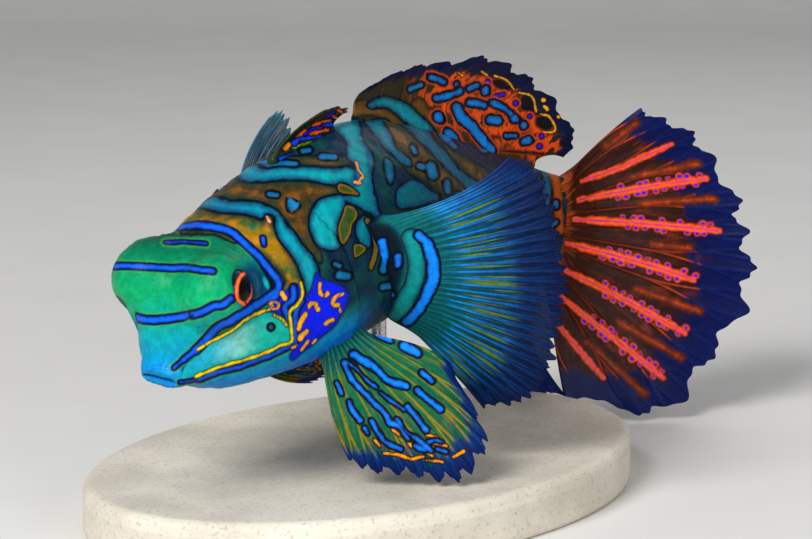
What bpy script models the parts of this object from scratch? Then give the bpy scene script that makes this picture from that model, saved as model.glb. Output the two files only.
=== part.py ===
"""Life-size mandarinfish, a small reef fish, held over a flat display base by one rod.

The fish is laid out along a bent spine. A place on it is a station along the spine
from the snout, a distance out to its left and a distance up. The named sizes are in
millimetres and degrees, and the model is built in metres with +Z up. The origin is
the middle of the underside of the base.
"""

import math

import bmesh
import bpy
import numpy as np
from mathutils import Matrix, Vector

MM = 0.001
GAP = 0.3

# Spine: yaw turns the nose from -X towards the fish's own left, pitch lifts it, and
# roll lifts its left side.
STANDARD_LENGTH = 54.0
REFERENCE_STATION = 24.0
REFERENCE_POINT = (0.0, 0.0, 20.9)
SPINE_STEP = 0.25
SPINE_START = -3.0
SPINE_END = 60.0
SPINE_KEYS = (
    # station, yaw, pitch, roll
    (0.0, 2.0, -31.0, -5.0),
    (7.0, -0.8, -25.2, -4.0),
    (14.0, -3.0, -19.0, 3.0),
    (26.0, 10.0, -1.0, 4.0),
    (38.0, 11.0, 9.0, 0.0),
    (48.0, 8.0, 14.0, -2.0),
    (54.0, -2.0, 14.0, 0.0),
    (60.0, -16.0, 13.0, 0.0),
)

# Girth: a section is an oval, and a power above 2 squares its upper or lower half.
GIRTH_KEYS = (
    # station, half width, top, bottom, power above, power below
    (0.0, 1.6, 0.8, 0.8, 2.2, 2.2),
    (0.7, 2.1, 1.2, 1.2, 2.4, 2.2),
    (1.3, 2.6, 2.1, 1.5, 2.7, 2.2),
    (2.2, 3.2, 3.5, 2.4, 3.0, 2.3),
    (4.0, 4.5, 5.4, 3.6, 3.0, 2.4),
    (6.0, 5.2, 6.1, 4.4, 2.9, 2.5),
    (8.0, 5.9, 6.7, 5.1, 2.5, 2.5),
    (11.0, 6.4, 7.2, 6.0, 2.3, 2.5),
    (14.0, 6.8, 7.6, 6.6, 2.15, 2.4),
    (18.0, 7.0, 8.0, 6.6, 2.05, 2.3),
    (23.0, 6.8, 8.2, 6.4, 1.9, 2.2),
    (30.0, 5.6, 7.0, 6.0, 2.0, 2.1),
    (40.0, 3.7, 5.4, 5.0, 2.0, 2.0),
    (48.0, 2.4, 4.8, 4.5, 2.0, 2.0),
    (54.0, 1.3, 4.5, 4.3, 2.0, 2.0),
)

# Division of the body, by station.
HEAD_END = 14.0
TRUNK_END = 36.0

# Eyes: station, out and up of the left one's centre, and the way that it looks.
EYE_CENTRE = (5.1, 3.25, 4.55)
EYE_AXIS = (0.3, 0.92, 0.2)
EYE_RADIUS = 2.2
CORNEA_RADIUS = 1.7
CORNEA_RISE = 0.2
ORBIT_RADIUS = 2.95
ORBIT_HEIGHT = 2.2
ORBIT_BLEND = 1.2
ORBIT_REACH = 4.0
ORBIT_END = 11.0
LID_OPENING = 1.6

# Face.
MOUTH_HALF_WIDTH = 1.25
MOUTH_HALF_HEIGHT = 0.22
MOUTH_DEPTH = 1.1
NOSTRIL = (7.6, 63.0)
NOSTRIL_RADIUS = 0.42
NOSTRIL_BORE = 0.2
GILL_PORE = (12.7, 52.0)
GILL_PORE_RADIUS = 0.6

# Fins. A ray stands up as a ridge on both faces of the membrane.
RAY_FOOT = 0.24
RIDGE_HEIGHT = 0.22
MEMBRANE_HALF = 0.25
EDGE_HALF = 0.15
ROOT_REACH = 0.22

# Stand.
BASE_LENGTH = 50.0
BASE_WIDTH = 34.0
BASE_HEIGHT = 3.8
BASE_BEVEL = 0.8
ROD_RADIUS = 1.0
ROD_STATION = 24.0


def smooth_table(keys, at):
    """Values of a keyed table at the given places, on a curve that never overshoots."""
    rows = np.array(keys, float)
    places, values = rows[:, 0], rows[:, 1:]
    steps = np.diff(places)[:, None]
    slopes = np.diff(values, axis=0) / steps
    before, after = slopes[:-1], slopes[1:]
    same_way = before * after > 0
    mean = 2 * before * after / np.where(same_way, before + after, 1.0)
    tangents = np.zeros_like(values)
    tangents[1:-1] = np.where(same_way, mean, 0.0)
    tangents[0], tangents[-1] = slopes[0], slopes[-1]
    at = np.clip(np.asarray(at, float), places[0], places[-1])
    cell = np.clip(np.searchsorted(places, at, side="right") - 1, 0, len(places) - 2)
    width = steps[cell]
    t = (at[..., None] - places[cell][..., None]) / width
    return (
        values[cell] * (1 + 2 * t) * (1 - t) ** 2
        + tangents[cell] * width * t * (1 - t) ** 2
        + values[cell + 1] * t**2 * (3 - 2 * t)
        + tangents[cell + 1] * width * t**2 * (t - 1)
    )


class Spine:
    """The bent middle line of the fish, with a frame at every station."""

    def __init__(self):
        self.stations = np.arange(SPINE_START, SPINE_END + SPINE_STEP, SPINE_STEP)
        yaw, pitch, roll = np.radians(smooth_table(SPINE_KEYS, self.stations)).T
        level = np.zeros_like(yaw)
        forward = np.stack([-np.cos(yaw), -np.sin(yaw), level], 1)
        forward = forward * np.cos(pitch)[:, None]
        forward[:, 2] = np.sin(pitch)
        level_left = np.stack([np.sin(yaw), -np.cos(yaw), level], 1)
        level_up = np.cross(forward, level_left)
        turn, rise = np.cos(roll)[:, None], np.sin(roll)[:, None]
        self.back = -forward
        self.left = level_left * turn + level_up * rise
        self.up = level_up * turn - level_left * rise
        path = np.cumsum(self.back * SPINE_STEP, axis=0)
        start = np.searchsorted(self.stations, REFERENCE_STATION)
        self.points = path - path[start] + np.array(REFERENCE_POINT)

    def frame(self, station):
        """Point, back, left and up at a station."""
        return [
            np.array([np.interp(station, self.stations, rows[:, k]) for k in range(3)])
            for rows in (self.points, self.back, self.left, self.up)
        ]

    def place(self, station, out, rise):
        """A point given by its station and its distances out and up from the spine."""
        point, _, left, up = self.frame(station)
        return point + left * out + up * rise


SPINE = Spine()


def signed_power(value, power):
    """A power of the size of a number, with the number's own sign."""
    return math.copysign(abs(value) ** power, value)


def girth_point(station, angle, grow=0.0):
    """Out and up of the plain body at an angle, from its left side over its back."""
    half_width, top, bottom, power_top, power_bottom = smooth_table(GIRTH_KEYS, station)
    height, power = (top, power_top) if math.sin(angle) >= 0 else (bottom, power_bottom)
    out = (half_width + grow) * signed_power(math.cos(angle), 2 / power)
    rise = (height + grow) * signed_power(math.sin(angle), 2 / power)
    return out, rise


def eye_frame(side):
    """Centre and looking direction of an eye as station, out and up."""
    axis = np.array(EYE_AXIS) * [1.0, side, 1.0]
    return np.array(EYE_CENTRE) * [1.0, side, 1.0], axis / np.linalg.norm(axis)


def orbit_distance(local):
    """Distances outside the nearer orbit, a ball cut flat, by station, out and up."""
    nearest = np.full(len(local), np.inf)
    for side in (1.0, -1.0):
        centre, axis = eye_frame(side)
        offset = local - centre
        around = np.linalg.norm(offset, axis=1) - ORBIT_RADIUS
        nearest = np.minimum(nearest, np.maximum(around, offset @ axis - ORBIT_HEIGHT))
    return nearest


def orbit_lift(station, angle):
    """How far the skin stands out beyond the plain body where it covers an eye."""
    if station >= ORBIT_END:
        return 0.0
    lifts = np.linspace(0.0, ORBIT_REACH, 41)
    local = np.array([(station, *girth_point(station, angle, lift)) for lift in lifts])
    apart = orbit_distance(local)
    share = np.clip(0.5 + 0.5 * (apart - lifts) / ORBIT_BLEND, 0, 1)
    both = apart * (1 - share) + lifts * share - ORBIT_BLEND * share * (1 - share)
    inside = np.flatnonzero(both[:-1] < 0)
    if not len(inside):
        return 0.0
    last = inside[-1]
    return lifts[last] + lifts[1] * both[last] / (both[last] - both[last + 1])


def body_point(station, angle, grow=0.0):
    """World point on the skin, or a distance outside it."""
    grow = grow + orbit_lift(station, angle)
    return SPINE.place(station, *girth_point(station, angle, grow))


def eye_world(side):
    """Centre of an eye and its looking direction in the world."""
    centre, axis = eye_frame(side)
    middle = SPINE.place(*centre)
    ahead = SPINE.place(*(centre + axis)) - middle
    return middle, ahead / np.linalg.norm(ahead)


def face_outward(cage):
    """Turns the faces of a closed cage to look outward."""
    bmesh.ops.recalc_face_normals(cage, faces=cage.faces)
    if cage.calc_volume(signed=True) < 0:
        bmesh.ops.reverse_faces(cage, faces=cage.faces)


def finish(name, cage, colour, roughness, smooth=True):
    """Turns a mesh in progress into a named node with its own material."""
    face_outward(cage)
    mesh = bpy.data.meshes.new(name)
    cage.to_mesh(mesh)
    cage.free()
    if smooth:
        mesh.shade_smooth()
    node = bpy.data.objects.new(name, mesh)
    PARTS.objects.link(node)
    material = bpy.data.materials.new(name)
    material.use_nodes = True
    shader = material.node_tree.nodes["Principled BSDF"]
    shader.inputs["Base Color"].default_value = (*colour, 1.0)
    shader.inputs["Roughness"].default_value = roughness
    shader.inputs["Metallic"].default_value = 0.0
    mesh.materials.append(material)
    return node


def loft(rings):
    """A closed cage through rings of points, with flat ends."""
    cage = bmesh.new()
    rows = [[cage.verts.new(Vector(p) * MM) for p in ring] for ring in rings]
    for near, far in zip(rows, rows[1:]):
        for k in range(len(near)):
            after = (k + 1) % len(near)
            cage.faces.new((near[k], near[after], far[after], far[k]))
    cage.faces.new(rows[0][::-1])
    cage.faces.new(rows[-1])
    bmesh.ops.triangulate(cage, faces=cage.faces)
    return cage


def body_rings(stations, count):
    """Rings of skin points across the spine."""
    turns = [2 * math.pi * k / count for k in range(count)]
    return [[body_point(s, turn) for turn in turns] for s in stations]


def tool(cage):
    """A closed helper object, hidden from the render."""
    face_outward(cage)
    mesh = bpy.data.meshes.new("tool")
    cage.to_mesh(mesh)
    cage.free()
    made = bpy.data.objects.new("tool", mesh)
    made.display_type = "WIRE"
    made.hide_render = True
    return made


def seat(middle, ahead):
    """Placing of a shape made about +Z at a point, along a direction."""
    turn = Vector(ahead).to_track_quat("Z", "Y").to_matrix().to_4x4()
    return Matrix.Translation(Vector(middle) * MM) @ turn


def ball(radius, placing, columns=20, rows=12):
    """A ball as a helper object."""
    cage = bmesh.new()
    bmesh.ops.create_uvsphere(cage, u_segments=columns, v_segments=rows, radius=radius * MM)
    cage.transform(placing)
    return tool(cage)


def peg(radius, depth, placing, segments=12):
    """A round peg about its placing, as a helper object."""
    cage = bmesh.new()
    bmesh.ops.create_cone(
        cage, cap_ends=True, segments=segments, radius1=radius * MM, radius2=radius * MM,
        depth=depth * MM,
    )
    cage.transform(placing)
    return tool(cage)


def combine(node, tools, operation):
    """Joins closed helper objects to a node, or cuts them out of it."""
    group = bpy.data.collections.new("cutters")
    bpy.context.scene.collection.children.link(group)
    for each in tools:
        group.objects.link(each)
    step = node.modifiers.new(operation, "BOOLEAN")
    step.operation = operation
    step.operand_type = "COLLECTION"
    step.collection = group
    step.solver = "EXACT"
    graph = bpy.context.evaluated_depsgraph_get()
    shape = bpy.data.meshes.new_from_object(node.evaluated_get(graph))
    node.modifiers.clear()
    node.data = shape
    for each in list(group.objects):
        bpy.data.objects.remove(each)
    bpy.data.collections.remove(group)


def keep_largest(node):
    """Leaves only the largest closed surface of a node."""
    cage = bmesh.new()
    cage.from_mesh(node.data)
    cage.verts.ensure_lookup_table()
    unseen = set(cage.verts)
    islands = []
    while unseen:
        island, edge = set(), [unseen.pop()]
        while edge:
            vert = edge.pop()
            island.add(vert)
            for link in vert.link_edges:
                other = link.other_vert(vert)
                if other in unseen:
                    unseen.discard(other)
                    edge.append(other)
        islands.append(island)
    islands.sort(key=len)
    scraps = [vert for island in islands[:-1] for vert in island]
    bmesh.ops.delete(cage, geom=scraps, context="VERTS")
    bmesh.ops.dissolve_degenerate(cage, dist=0.002 * MM, edges=cage.edges)
    bmesh.ops.triangulate(cage, faces=cage.faces)
    cage.to_mesh(node.data)
    cage.free()


def make_head():
    """Head with orbits, lids, sockets, mouth, nostrils and gill pores."""
    front = [0.0, 0.25, 0.7, 1.05, 1.5, 1.9, 2.2, 2.5, 2.8, 3.1, 3.5, 4.0, 4.5, 5.0, 5.5]
    front += [6.0, 6.4, 6.8, 7.1, 7.4]
    rear = [8.0, 8.7, 9.5, 10.3, 11.2, 12.2, 13.1, HEAD_END - GAP / 2]
    head = finish("head", loft(body_rings(front + rear, 40)), (0.02, 0.36, 0.3), 0.3)
    added, taken = [], []
    for side in (1.0, -1.0):
        middle, ahead = eye_world(side)
        taken.append(ball(EYE_RADIUS + GAP, seat(middle, ahead), 24, 16))
        taken.append(peg(LID_OPENING, 1.8, seat(middle + ahead * 2.5, ahead), 24))
        station, angle = NOSTRIL
        hole = body_point(station, math.radians(angle if side > 0 else 180 - angle))
        _, _, left, up = SPINE.frame(station)
        lean = up + left * side * 0.35
        added.append(peg(NOSTRIL_RADIUS, 1.3, seat(hole, lean)))
        taken.append(peg(NOSTRIL_BORE, 1.6, seat(hole + lean * 0.5, lean), 10))
        station, angle = GILL_PORE
        pore = body_point(station, math.radians(angle if side > 0 else 180 - angle))
        taken.append(ball(GILL_PORE_RADIUS, seat(pore, up), 12, 8))
    point, back, left, up = SPINE.frame(0.0)
    turn = Matrix((left, up, back)).transposed()
    sizes = Matrix.Diagonal((MOUTH_HALF_WIDTH, MOUTH_HALF_HEIGHT, MOUTH_DEPTH))
    placing = Matrix.Translation(Vector(point) * MM) @ (turn @ sizes).to_4x4()
    taken.append(ball(1.0, placing, 20, 12))
    combine(head, added, "UNION")
    combine(head, taken, "DIFFERENCE")
    keep_largest(head)
    return head


def make_eye(name, side):
    """Eyeball with the low dome of the cornea on its outer side."""
    middle, ahead = eye_world(side)
    cage = bmesh.new()
    bmesh.ops.create_uvsphere(cage, u_segments=20, v_segments=14, radius=EYE_RADIUS * MM)
    for vert in cage.verts:
        across = math.hypot(vert.co.x, vert.co.y) / MM
        if vert.co.z > 0 and across < CORNEA_RADIUS:
            vert.co.z += CORNEA_RISE * MM * (1 - (across / CORNEA_RADIUS) ** 2)
    cage.transform(seat(middle, ahead))
    bmesh.ops.triangulate(cage, faces=cage.faces)
    return finish(name, cage, (0.01, 0.12, 0.14), 0.08)


def sheet(middle, half, root_way):
    """A thin closed cage about a grid of middle points, both faces split alike."""
    across = np.gradient(middle, axis=0)
    along = np.gradient(middle, axis=1)
    normal = np.cross(across, along)
    normal /= np.linalg.norm(normal, axis=2, keepdims=True)
    agree = np.sign(np.sum(root_way * normal[:, 0], axis=1, keepdims=True))
    for j, share in enumerate((1.0, 0.5)):
        mixed = normal[:, j] * (1 - share) + root_way * agree * share
        normal[:, j] = mixed / np.linalg.norm(mixed, axis=1, keepdims=True)
    cage = bmesh.new()
    sides = []
    for sign in (1.0, -1.0):
        points = (middle + sign * normal * half[..., None]) * MM
        sides.append([[cage.verts.new(Vector(p)) for p in row] for row in points])
    columns, rows = middle.shape[:2]
    for upper, grid in zip((True, False), sides):
        for i in range(columns - 1):
            for j in range(rows - 1):
                a, b = grid[i][j], grid[i + 1][j]
                c, d = grid[i + 1][j + 1], grid[i][j + 1]
                for corners in ((a, b, c), (a, c, d)):
                    cage.faces.new(corners if upper else corners[::-1])
    border = [(i, 0) for i in range(columns)]
    border += [(columns - 1, j) for j in range(1, rows)]
    border += [(i, rows - 1) for i in range(columns - 2, -1, -1)]
    border += [(0, j) for j in range(rows - 2, 0, -1)]
    for (i, j), (m, n) in zip(border, border[1:] + border[:1]):
        a, b = sides[0][i][j], sides[0][m][n]
        c, d = sides[1][m][n], sides[1][i][j]
        cage.faces.new((a, c, b))
        cage.faces.new((a, d, c))
    return cage


class Fin:
    """A fan of rays joined by a thin membrane, rooted on the body's skin."""

    def __init__(self, root, rays, bow, ray_count, root_half, notch, wave=(0.0, 1.0)):
        """Keys run by u, from 0 at the first ray to 1 at the last.

        root: u, station and angle of the root on the skin, in degrees.
        rays: u, and back, out and up from the root to the tip of the ray.
        bow: u, and back, out and up of the ray's middle off the straight line.
        notch: share of a ray's length by which the edge falls back between rays.
        wave: height of the wave in the edge, and the count of waves.
        """
        self.root, self.rays, self.bow = root, rays, bow
        self.ray_count, self.root_half = ray_count, root_half
        self.notch, self.wave = notch, wave

    def columns(self):
        """The u of each column of points, and the share of a ridge it carries."""
        found = []
        for ray in range(self.ray_count):
            for shift, ridge in ((-RAY_FOOT, 0.0), (0.0, 1.0), (RAY_FOOT, 0.0)):
                u = (ray + shift) / (self.ray_count - 1)
                if -1e-9 <= u <= 1 + 1e-9:
                    found.append((min(max(u, 0.0), 1.0), ridge))
        return found

    def base(self, u):
        """Root point, frame and thickness direction at u."""
        station, angle = smooth_table(self.root, u)
        turn = math.radians(angle)
        point = body_point(station, turn, GAP)
        _, back, left, up = SPINE.frame(station)
        line = np.subtract(*[
            body_point(*(smooth_table(self.root, u + step) * [1, math.pi / 180]), GAP)
            for step in (0.01, -0.01)
        ])
        fore = body_point(station + 0.1, turn) - body_point(station - 0.1, turn)
        over = body_point(station, turn + 0.05) - body_point(station, turn - 0.05)
        way = np.cross(line, np.cross(fore, over))
        return point, (back, left, up), way / np.linalg.norm(way)

    def point(self, u, v):
        """World point in the middle of the membrane."""
        point, (back, left, up), _ = self.base(u)
        between = abs(math.sin(math.pi * u * (self.ray_count - 1)))
        reach = v * (1 - self.notch * between * v**2)
        bend = 4 * reach * (1 - reach)
        shift = smooth_table(self.rays, u) * reach + smooth_table(self.bow, u) * bend
        size, waves = self.wave
        shift[1] += size * math.sin(2 * math.pi * waves * u) * reach**2
        return point + back * shift[0] + left * shift[1] + up * shift[2]

    def cage(self, rows):
        """Closed cage of the fin with its rays raised on both faces."""
        places = [(j / rows) ** 1.15 for j in range(rows + 1)]
        columns = self.columns()
        middle = np.array([[self.point(u, v) for v in places] for u, _ in columns])
        half = np.zeros(middle.shape[:2])
        for i, (_, ridge) in enumerate(columns):
            for j, v in enumerate(places):
                rim = max(0.0, (v - 0.8) / 0.2)
                thick = MEMBRANE_HALF + (EDGE_HALF - MEMBRANE_HALF) * rim
                swell = max(0.0, 1 - v / ROOT_REACH) ** 1.5
                root = (self.root_half - MEMBRANE_HALF) * swell
                half[i, j] = thick + root + ridge * RIDGE_HEIGHT * (1 - 0.7 * v)
        return sheet(middle, half, np.array([self.base(u)[2] for u, _ in columns]))


class TailFin(Fin):
    """The fin whose root is the flat end of the tail."""

    def base(self, u):
        """Root point, frame and thickness direction at u."""
        origin, back, left, up = SPINE.frame(STANDARD_LENGTH)
        height = CAUDAL_TOP + (CAUDAL_BOTTOM - CAUDAL_TOP) * u
        return origin + back * GAP + up * height, (back, left, up), left


def mirrored_root(root):
    """The same root on the right side of the body."""
    return tuple((u, station, 180.0 - angle) for u, station, angle in root)


# Left pectoral, spread towards the viewer. The right one is raised and swept back.
PECTORAL_ROOT = ((0.0, 17.6, 21.0), (0.5, 18.4, -12.0), (1.0, 19.8, -50.0))
PECTORAL_RAYS = (
    (0.0, 7.4, 7.6, 2.6),
    (0.15, 8.4, 8.4, 2.5),
    (0.3, 8.7, 8.7, 0.1),
    (0.45, 8.6, 8.6, -2.5),
    (0.6, 8.0, 8.0, -5.0),
    (0.75, 7.1, 7.1, -7.5),
    (0.88, 5.7, 5.7, -9.1),
    (1.0, 3.7, 3.7, -8.6),
)
PECTORAL_BOW = ((0.0, -0.3, 0.9, 0.9), (0.5, -0.8, 1.2, 0.2), (1.0, -0.3, 0.9, -0.3))
RIGHT_PECTORAL_RAYS = (
    (0.0, 7.4, -2.2, 4.6),
    (0.15, 10.4, -3.4, 5.4),
    (0.3, 12.0, -4.4, 3.6),
    (0.45, 12.0, -5.8, 1.2),
    (0.6, 11.0, -7.6, -0.8),
    (0.75, 9.0, -8.8, -2.6),
    (0.88, 6.6, -8.9, -3.8),
    (1.0, 4.2, -7.8, -4.0),
)
RIGHT_PECTORAL_BOW = ((0.0, -0.2, -0.8, 0.2), (1.0, -0.4, -1.2, -0.2))

# Left pelvic, spread out and down to the base. The right one is swept back.
PELVIC_ROOT = ((0.0, 11.5, -55.0), (1.0, 15.5, -48.0))
PELVIC_RAYS = (
    (0.0, -2.0, 1.8, -7.0),
    (0.15, -1.7, 2.7, -8.4),
    (0.3, -0.7, 4.2, -9.5),
    (0.45, 0.3, 5.7, -10.7),
    (0.6, 1.4, 7.0, -11.2),
    (0.75, 2.9, 7.6, -9.8),
    (0.9, 3.2, 6.6, -7.4),
    (1.0, 3.3, 4.7, -3.5),
)
PELVIC_BOW = ((0.0, -1.0, 0.6, 0.1), (0.5, -0.3, 1.2, 0.4), (1.0, 0.2, 0.8, 0.4))

RIGHT_PELVIC_RAYS = (
    (0.0, 6.0, -0.2, -6.8),
    (0.3, 7.8, -1.0, -7.2),
    (0.6, 8.8, -2.2, -6.0),
    (0.8, 8.7, -3.0, -4.4),
    (1.0, 6.0, -3.4, -2.2),
)
RIGHT_PELVIC_BOW = ((0.0, -0.6, -0.6, -0.8), (1.0, -0.6, -0.8, -0.8))

# First dorsal, folded down along the back.
FIRST_DORSAL_ROOT = ((0.0, 15.6, 90.0), (1.0, 21.4, 90.0))
FIRST_DORSAL_RAYS = (
    (0.0, 6.4, 0.5, 2.0),
    (0.35, 5.6, 0.4, 1.7),
    (0.7, 4.2, 0.3, 1.2),
    (1.0, 2.4, 0.2, 0.7),
)
FIRST_DORSAL_BOW = ((0.0, -0.5, 0.3, 0.5), (1.0, -0.2, 0.1, 0.2))

SECOND_DORSAL_ROOT = ((0.0, 24.0, 90.0), (1.0, 49.5, 90.0))
SECOND_DORSAL_RAYS = (
    (0.0, 1.4, 0.4, 1.9),
    (0.12, 1.8, 0.7, 3.3),
    (0.25, 1.8, 1.0, 4.3),
    (0.38, 2.0, 1.2, 4.9),
    (0.5, 3.0, 1.7, 5.9),
    (0.62, 4.2, 1.9, 5.7),
    (0.75, 4.8, 2.1, 5.2),
    (0.87, 5.4, 2.0, 3.8),
    (0.95, 5.4, 1.8, 2.2),
    (1.0, 3.4, 1.0, 1.0),
)
SECOND_DORSAL_BOW = ((0.0, -0.4, -0.2, 0.3), (0.5, -0.9, -0.3, 0.5), (1.0, -0.2, 0.0, 0.4))

ANAL_ROOT = ((0.0, 31.0, -90.0), (1.0, 49.5, -90.0))
ANAL_RAYS = (
    (0.0, 3.2, 1.2, -3.8),
    (0.3, 3.4, 1.5, -6.3),
    (0.5, 4.0, 1.9, -7.4),
    (0.7, 4.8, 2.2, -8.0),
    (0.85, 6.6, 2.2, -8.1),
    (1.0, 6.2, 1.9, -7.2),
)
ANAL_BOW = ((0.0, -0.4, -0.2, -0.3), (1.0, -0.6, -0.3, -0.4))

# Tail fin, curving from the line of the tail round towards the viewer.
CAUDAL_TOP = 4.3
CAUDAL_BOTTOM = -4.1
CAUDAL_RAYS = (
    (0.0, 5.1, 2.9, 7.0),
    (0.12, 7.2, 4.8, 7.6),
    (0.25, 10.0, 7.8, 6.9),
    (0.38, 12.4, 10.4, 3.6),
    (0.5, 13.3, 11.1, 1.3),
    (0.62, 13.7, 11.5, -2.5),
    (0.75, 12.3, 9.6, -7.4),
    (0.88, 9.7, 6.5, -11.0),
    (1.0, 3.8, 2.2, -9.9),
)
CAUDAL_BOW = ((0.0, 0.5, -0.4, 0.4), (0.5, 1.2, -1.5, 0.0), (1.0, 0.5, -0.4, -0.4))

FINS = {
    "pectoral_fin_left": (
        Fin(PECTORAL_ROOT, PECTORAL_RAYS, PECTORAL_BOW, 14, 0.85, 0.05), 9
    ),
    "pectoral_fin_right": (
        Fin(mirrored_root(PECTORAL_ROOT), RIGHT_PECTORAL_RAYS, RIGHT_PECTORAL_BOW, 14,
            0.8, 0.05), 9
    ),
    "pelvic_fin_left": (Fin(PELVIC_ROOT, PELVIC_RAYS, PELVIC_BOW, 9, 0.8, 0.04), 9),
    "pelvic_fin_right": (
        Fin(mirrored_root(PELVIC_ROOT), RIGHT_PELVIC_RAYS, RIGHT_PELVIC_BOW, 9, 0.7,
            0.04), 9
    ),
    "dorsal_fin_first": (
        Fin(FIRST_DORSAL_ROOT, FIRST_DORSAL_RAYS, FIRST_DORSAL_BOW, 4, 0.45, 0.08), 5
    ),
    "dorsal_fin_second": (
        Fin(SECOND_DORSAL_ROOT, SECOND_DORSAL_RAYS, SECOND_DORSAL_BOW, 10, 0.55, 0.07,
            (0.25, 2.5)), 8
    ),
    "anal_fin": (Fin(ANAL_ROOT, ANAL_RAYS, ANAL_BOW, 8, 0.55, 0.08, (0.25, 2.0)), 7),
    "caudal_fin": (
        TailFin(None, CAUDAL_RAYS, CAUDAL_BOW, 12, 0.95, 0.04, (0.35, 2.5)), 10
    ),
}
FIN_COLOUR = {
    "pectoral": (0.01, 0.12, 0.42),
    "pelvic": (0.05, 0.2, 0.12),
    "dorsal": (0.5, 0.13, 0.02),
    "anal": (0.01, 0.04, 0.2),
    "caudal": (0.45, 0.1, 0.03),
}


def make_base():
    """Flat oval base with a bevelled edge."""
    cage = bmesh.new()
    bmesh.ops.create_cone(
        cage, cap_ends=True, segments=72, radius1=0.5, radius2=0.5, depth=BASE_HEIGHT * MM
    )
    bmesh.ops.scale(cage, vec=(BASE_LENGTH * MM, BASE_WIDTH * MM, 1.0), verts=cage.verts)
    bmesh.ops.translate(cage, vec=(0, 0, BASE_HEIGHT * MM / 2), verts=cage.verts)
    rim = [e for e in cage.edges if all(v.co.z > BASE_HEIGHT * MM * 0.9 for v in e.verts)]
    bmesh.ops.bevel(
        cage, geom=rim, offset=BASE_BEVEL * MM, segments=3, profile=0.5, affect="EDGES"
    )
    bmesh.ops.triangulate(cage, faces=cage.faces)
    return finish("stand_base", cage, (0.55, 0.5, 0.42), 0.7, smooth=False)


def make_rod():
    """Round rod from the base to the belly, its top cut to lie along the skin."""
    belly = body_point(ROD_STATION, -math.pi / 2)
    fore = body_point(ROD_STATION + 0.5, -math.pi / 2) - belly
    over = body_point(ROD_STATION, -math.pi / 2 + 0.1) - belly
    normal = np.cross(fore, over)
    normal *= -np.sign(normal[2]) / np.linalg.norm(normal)
    rings = [[], []]
    for k in range(24):
        turn = 2 * math.pi * k / 24
        x = belly[0] + ROD_RADIUS * math.cos(turn)
        y = belly[1] + ROD_RADIUS * math.sin(turn)
        slope = (normal[0] * (x - belly[0]) + normal[1] * (y - belly[1])) / normal[2]
        rings[0].append((x, y, BASE_HEIGHT + GAP))
        rings[1].append((x, y, belly[2] - slope + GAP / normal[2]))
    return finish("stand_rod", loft(rings), (0.6, 0.6, 0.6), 0.25, smooth=False)


def main():
    """Builds every node of the fish and its stand."""
    make_head()
    make_eye("eye_left", 1.0)
    make_eye("eye_right", -1.0)
    trunk = np.linspace(HEAD_END + GAP / 2, TRUNK_END - GAP / 2, 17)
    finish("trunk", loft(body_rings(trunk, 36)), (0.02, 0.25, 0.28), 0.3)
    tail = np.linspace(TRUNK_END + GAP / 2, STANDARD_LENGTH, 13)
    finish("tail", loft(body_rings(tail, 32)), (0.03, 0.2, 0.25), 0.3)
    for name, (fin, rows) in FINS.items():
        finish(name, fin.cage(rows), FIN_COLOUR[name.split("_")[0]], 0.35)
    make_base()
    make_rod()


for old in list(bpy.data.objects):
    bpy.data.objects.remove(old)
PARTS = bpy.data.collections.new("mandarinfish")
bpy.context.scene.collection.children.link(PARTS)
main()
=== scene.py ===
"""Museum model of a mandarinfish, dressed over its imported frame.

The fish is one skin laid over a bent spine, with eyes, fins of fine rays, and a stone
base with a steel rod. Lengths are millimetres until a mesh is made. Marks are drawn in
the pixels of the reference view and laid on whatever surface lies behind them. The right
side repeats the left one.
"""

import logging
import math
from dataclasses import dataclass
from enum import Enum

import bpy
import numpy as np
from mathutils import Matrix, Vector


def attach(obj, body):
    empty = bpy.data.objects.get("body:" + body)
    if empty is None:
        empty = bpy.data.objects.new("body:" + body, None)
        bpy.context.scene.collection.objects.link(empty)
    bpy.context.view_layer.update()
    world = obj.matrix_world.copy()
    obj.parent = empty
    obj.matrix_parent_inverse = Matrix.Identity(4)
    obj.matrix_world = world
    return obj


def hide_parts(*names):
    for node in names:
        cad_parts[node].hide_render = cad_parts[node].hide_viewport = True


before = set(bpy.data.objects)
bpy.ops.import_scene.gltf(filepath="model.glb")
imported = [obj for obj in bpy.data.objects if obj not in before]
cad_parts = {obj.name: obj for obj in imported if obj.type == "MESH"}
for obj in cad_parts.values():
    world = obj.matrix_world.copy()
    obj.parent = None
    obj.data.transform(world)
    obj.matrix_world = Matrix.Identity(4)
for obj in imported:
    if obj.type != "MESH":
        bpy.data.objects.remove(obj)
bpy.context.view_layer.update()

LOG = logging.getLogger("mandarinfish")
# Metres in a millimetre, and the gap from the flesh to a fin in millimetres.
MM = 0.001
GAP = 0.3
# Furthest distance kept from a mark, and width over which marks of an ink melt, in pixels.
MARK_REACH = 12.0
MARK_BLEND = 1.6
# Count, stretch and height of the waves that make a ripple.
RIPPLE_WAVES = 7
RIPPLE_STRETCH = (0.7, 1.6)
RIPPLE_HEIGHT = 3.2

Array = np.ndarray
Point = tuple[float, float]
Row = tuple[float, ...]
Stops = tuple[tuple[float, str], ...]


class Ink(Enum):
    """Inks of the marks, each stored on a surface as the distance to its edge."""

    EARTH = "ink_earth"
    TEAL = "ink_teal"
    OLIVE = "ink_olive"
    FIELD = "ink_field"
    JAW = "ink_jaw"
    FACE = "ink_face"
    # Painted shade: dark teal round each eye, deepest toward the eye.
    EYE_MOUND_SHADE = "ink_orbit"
    ROYAL = "ink_royal"
    AMBER = "ink_amber"
    DARK = "ink_dark"
    FLAME = "ink_flame"
    ROSE = "ink_rose"
    PALE = "ink_pale"
    YELLOW = "ink_yellow"
    VIOLET = "ink_violet"
    AZURE = "ink_azure"
    IRIS = "ink_iris"
    PUPIL = "ink_pupil"


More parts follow.
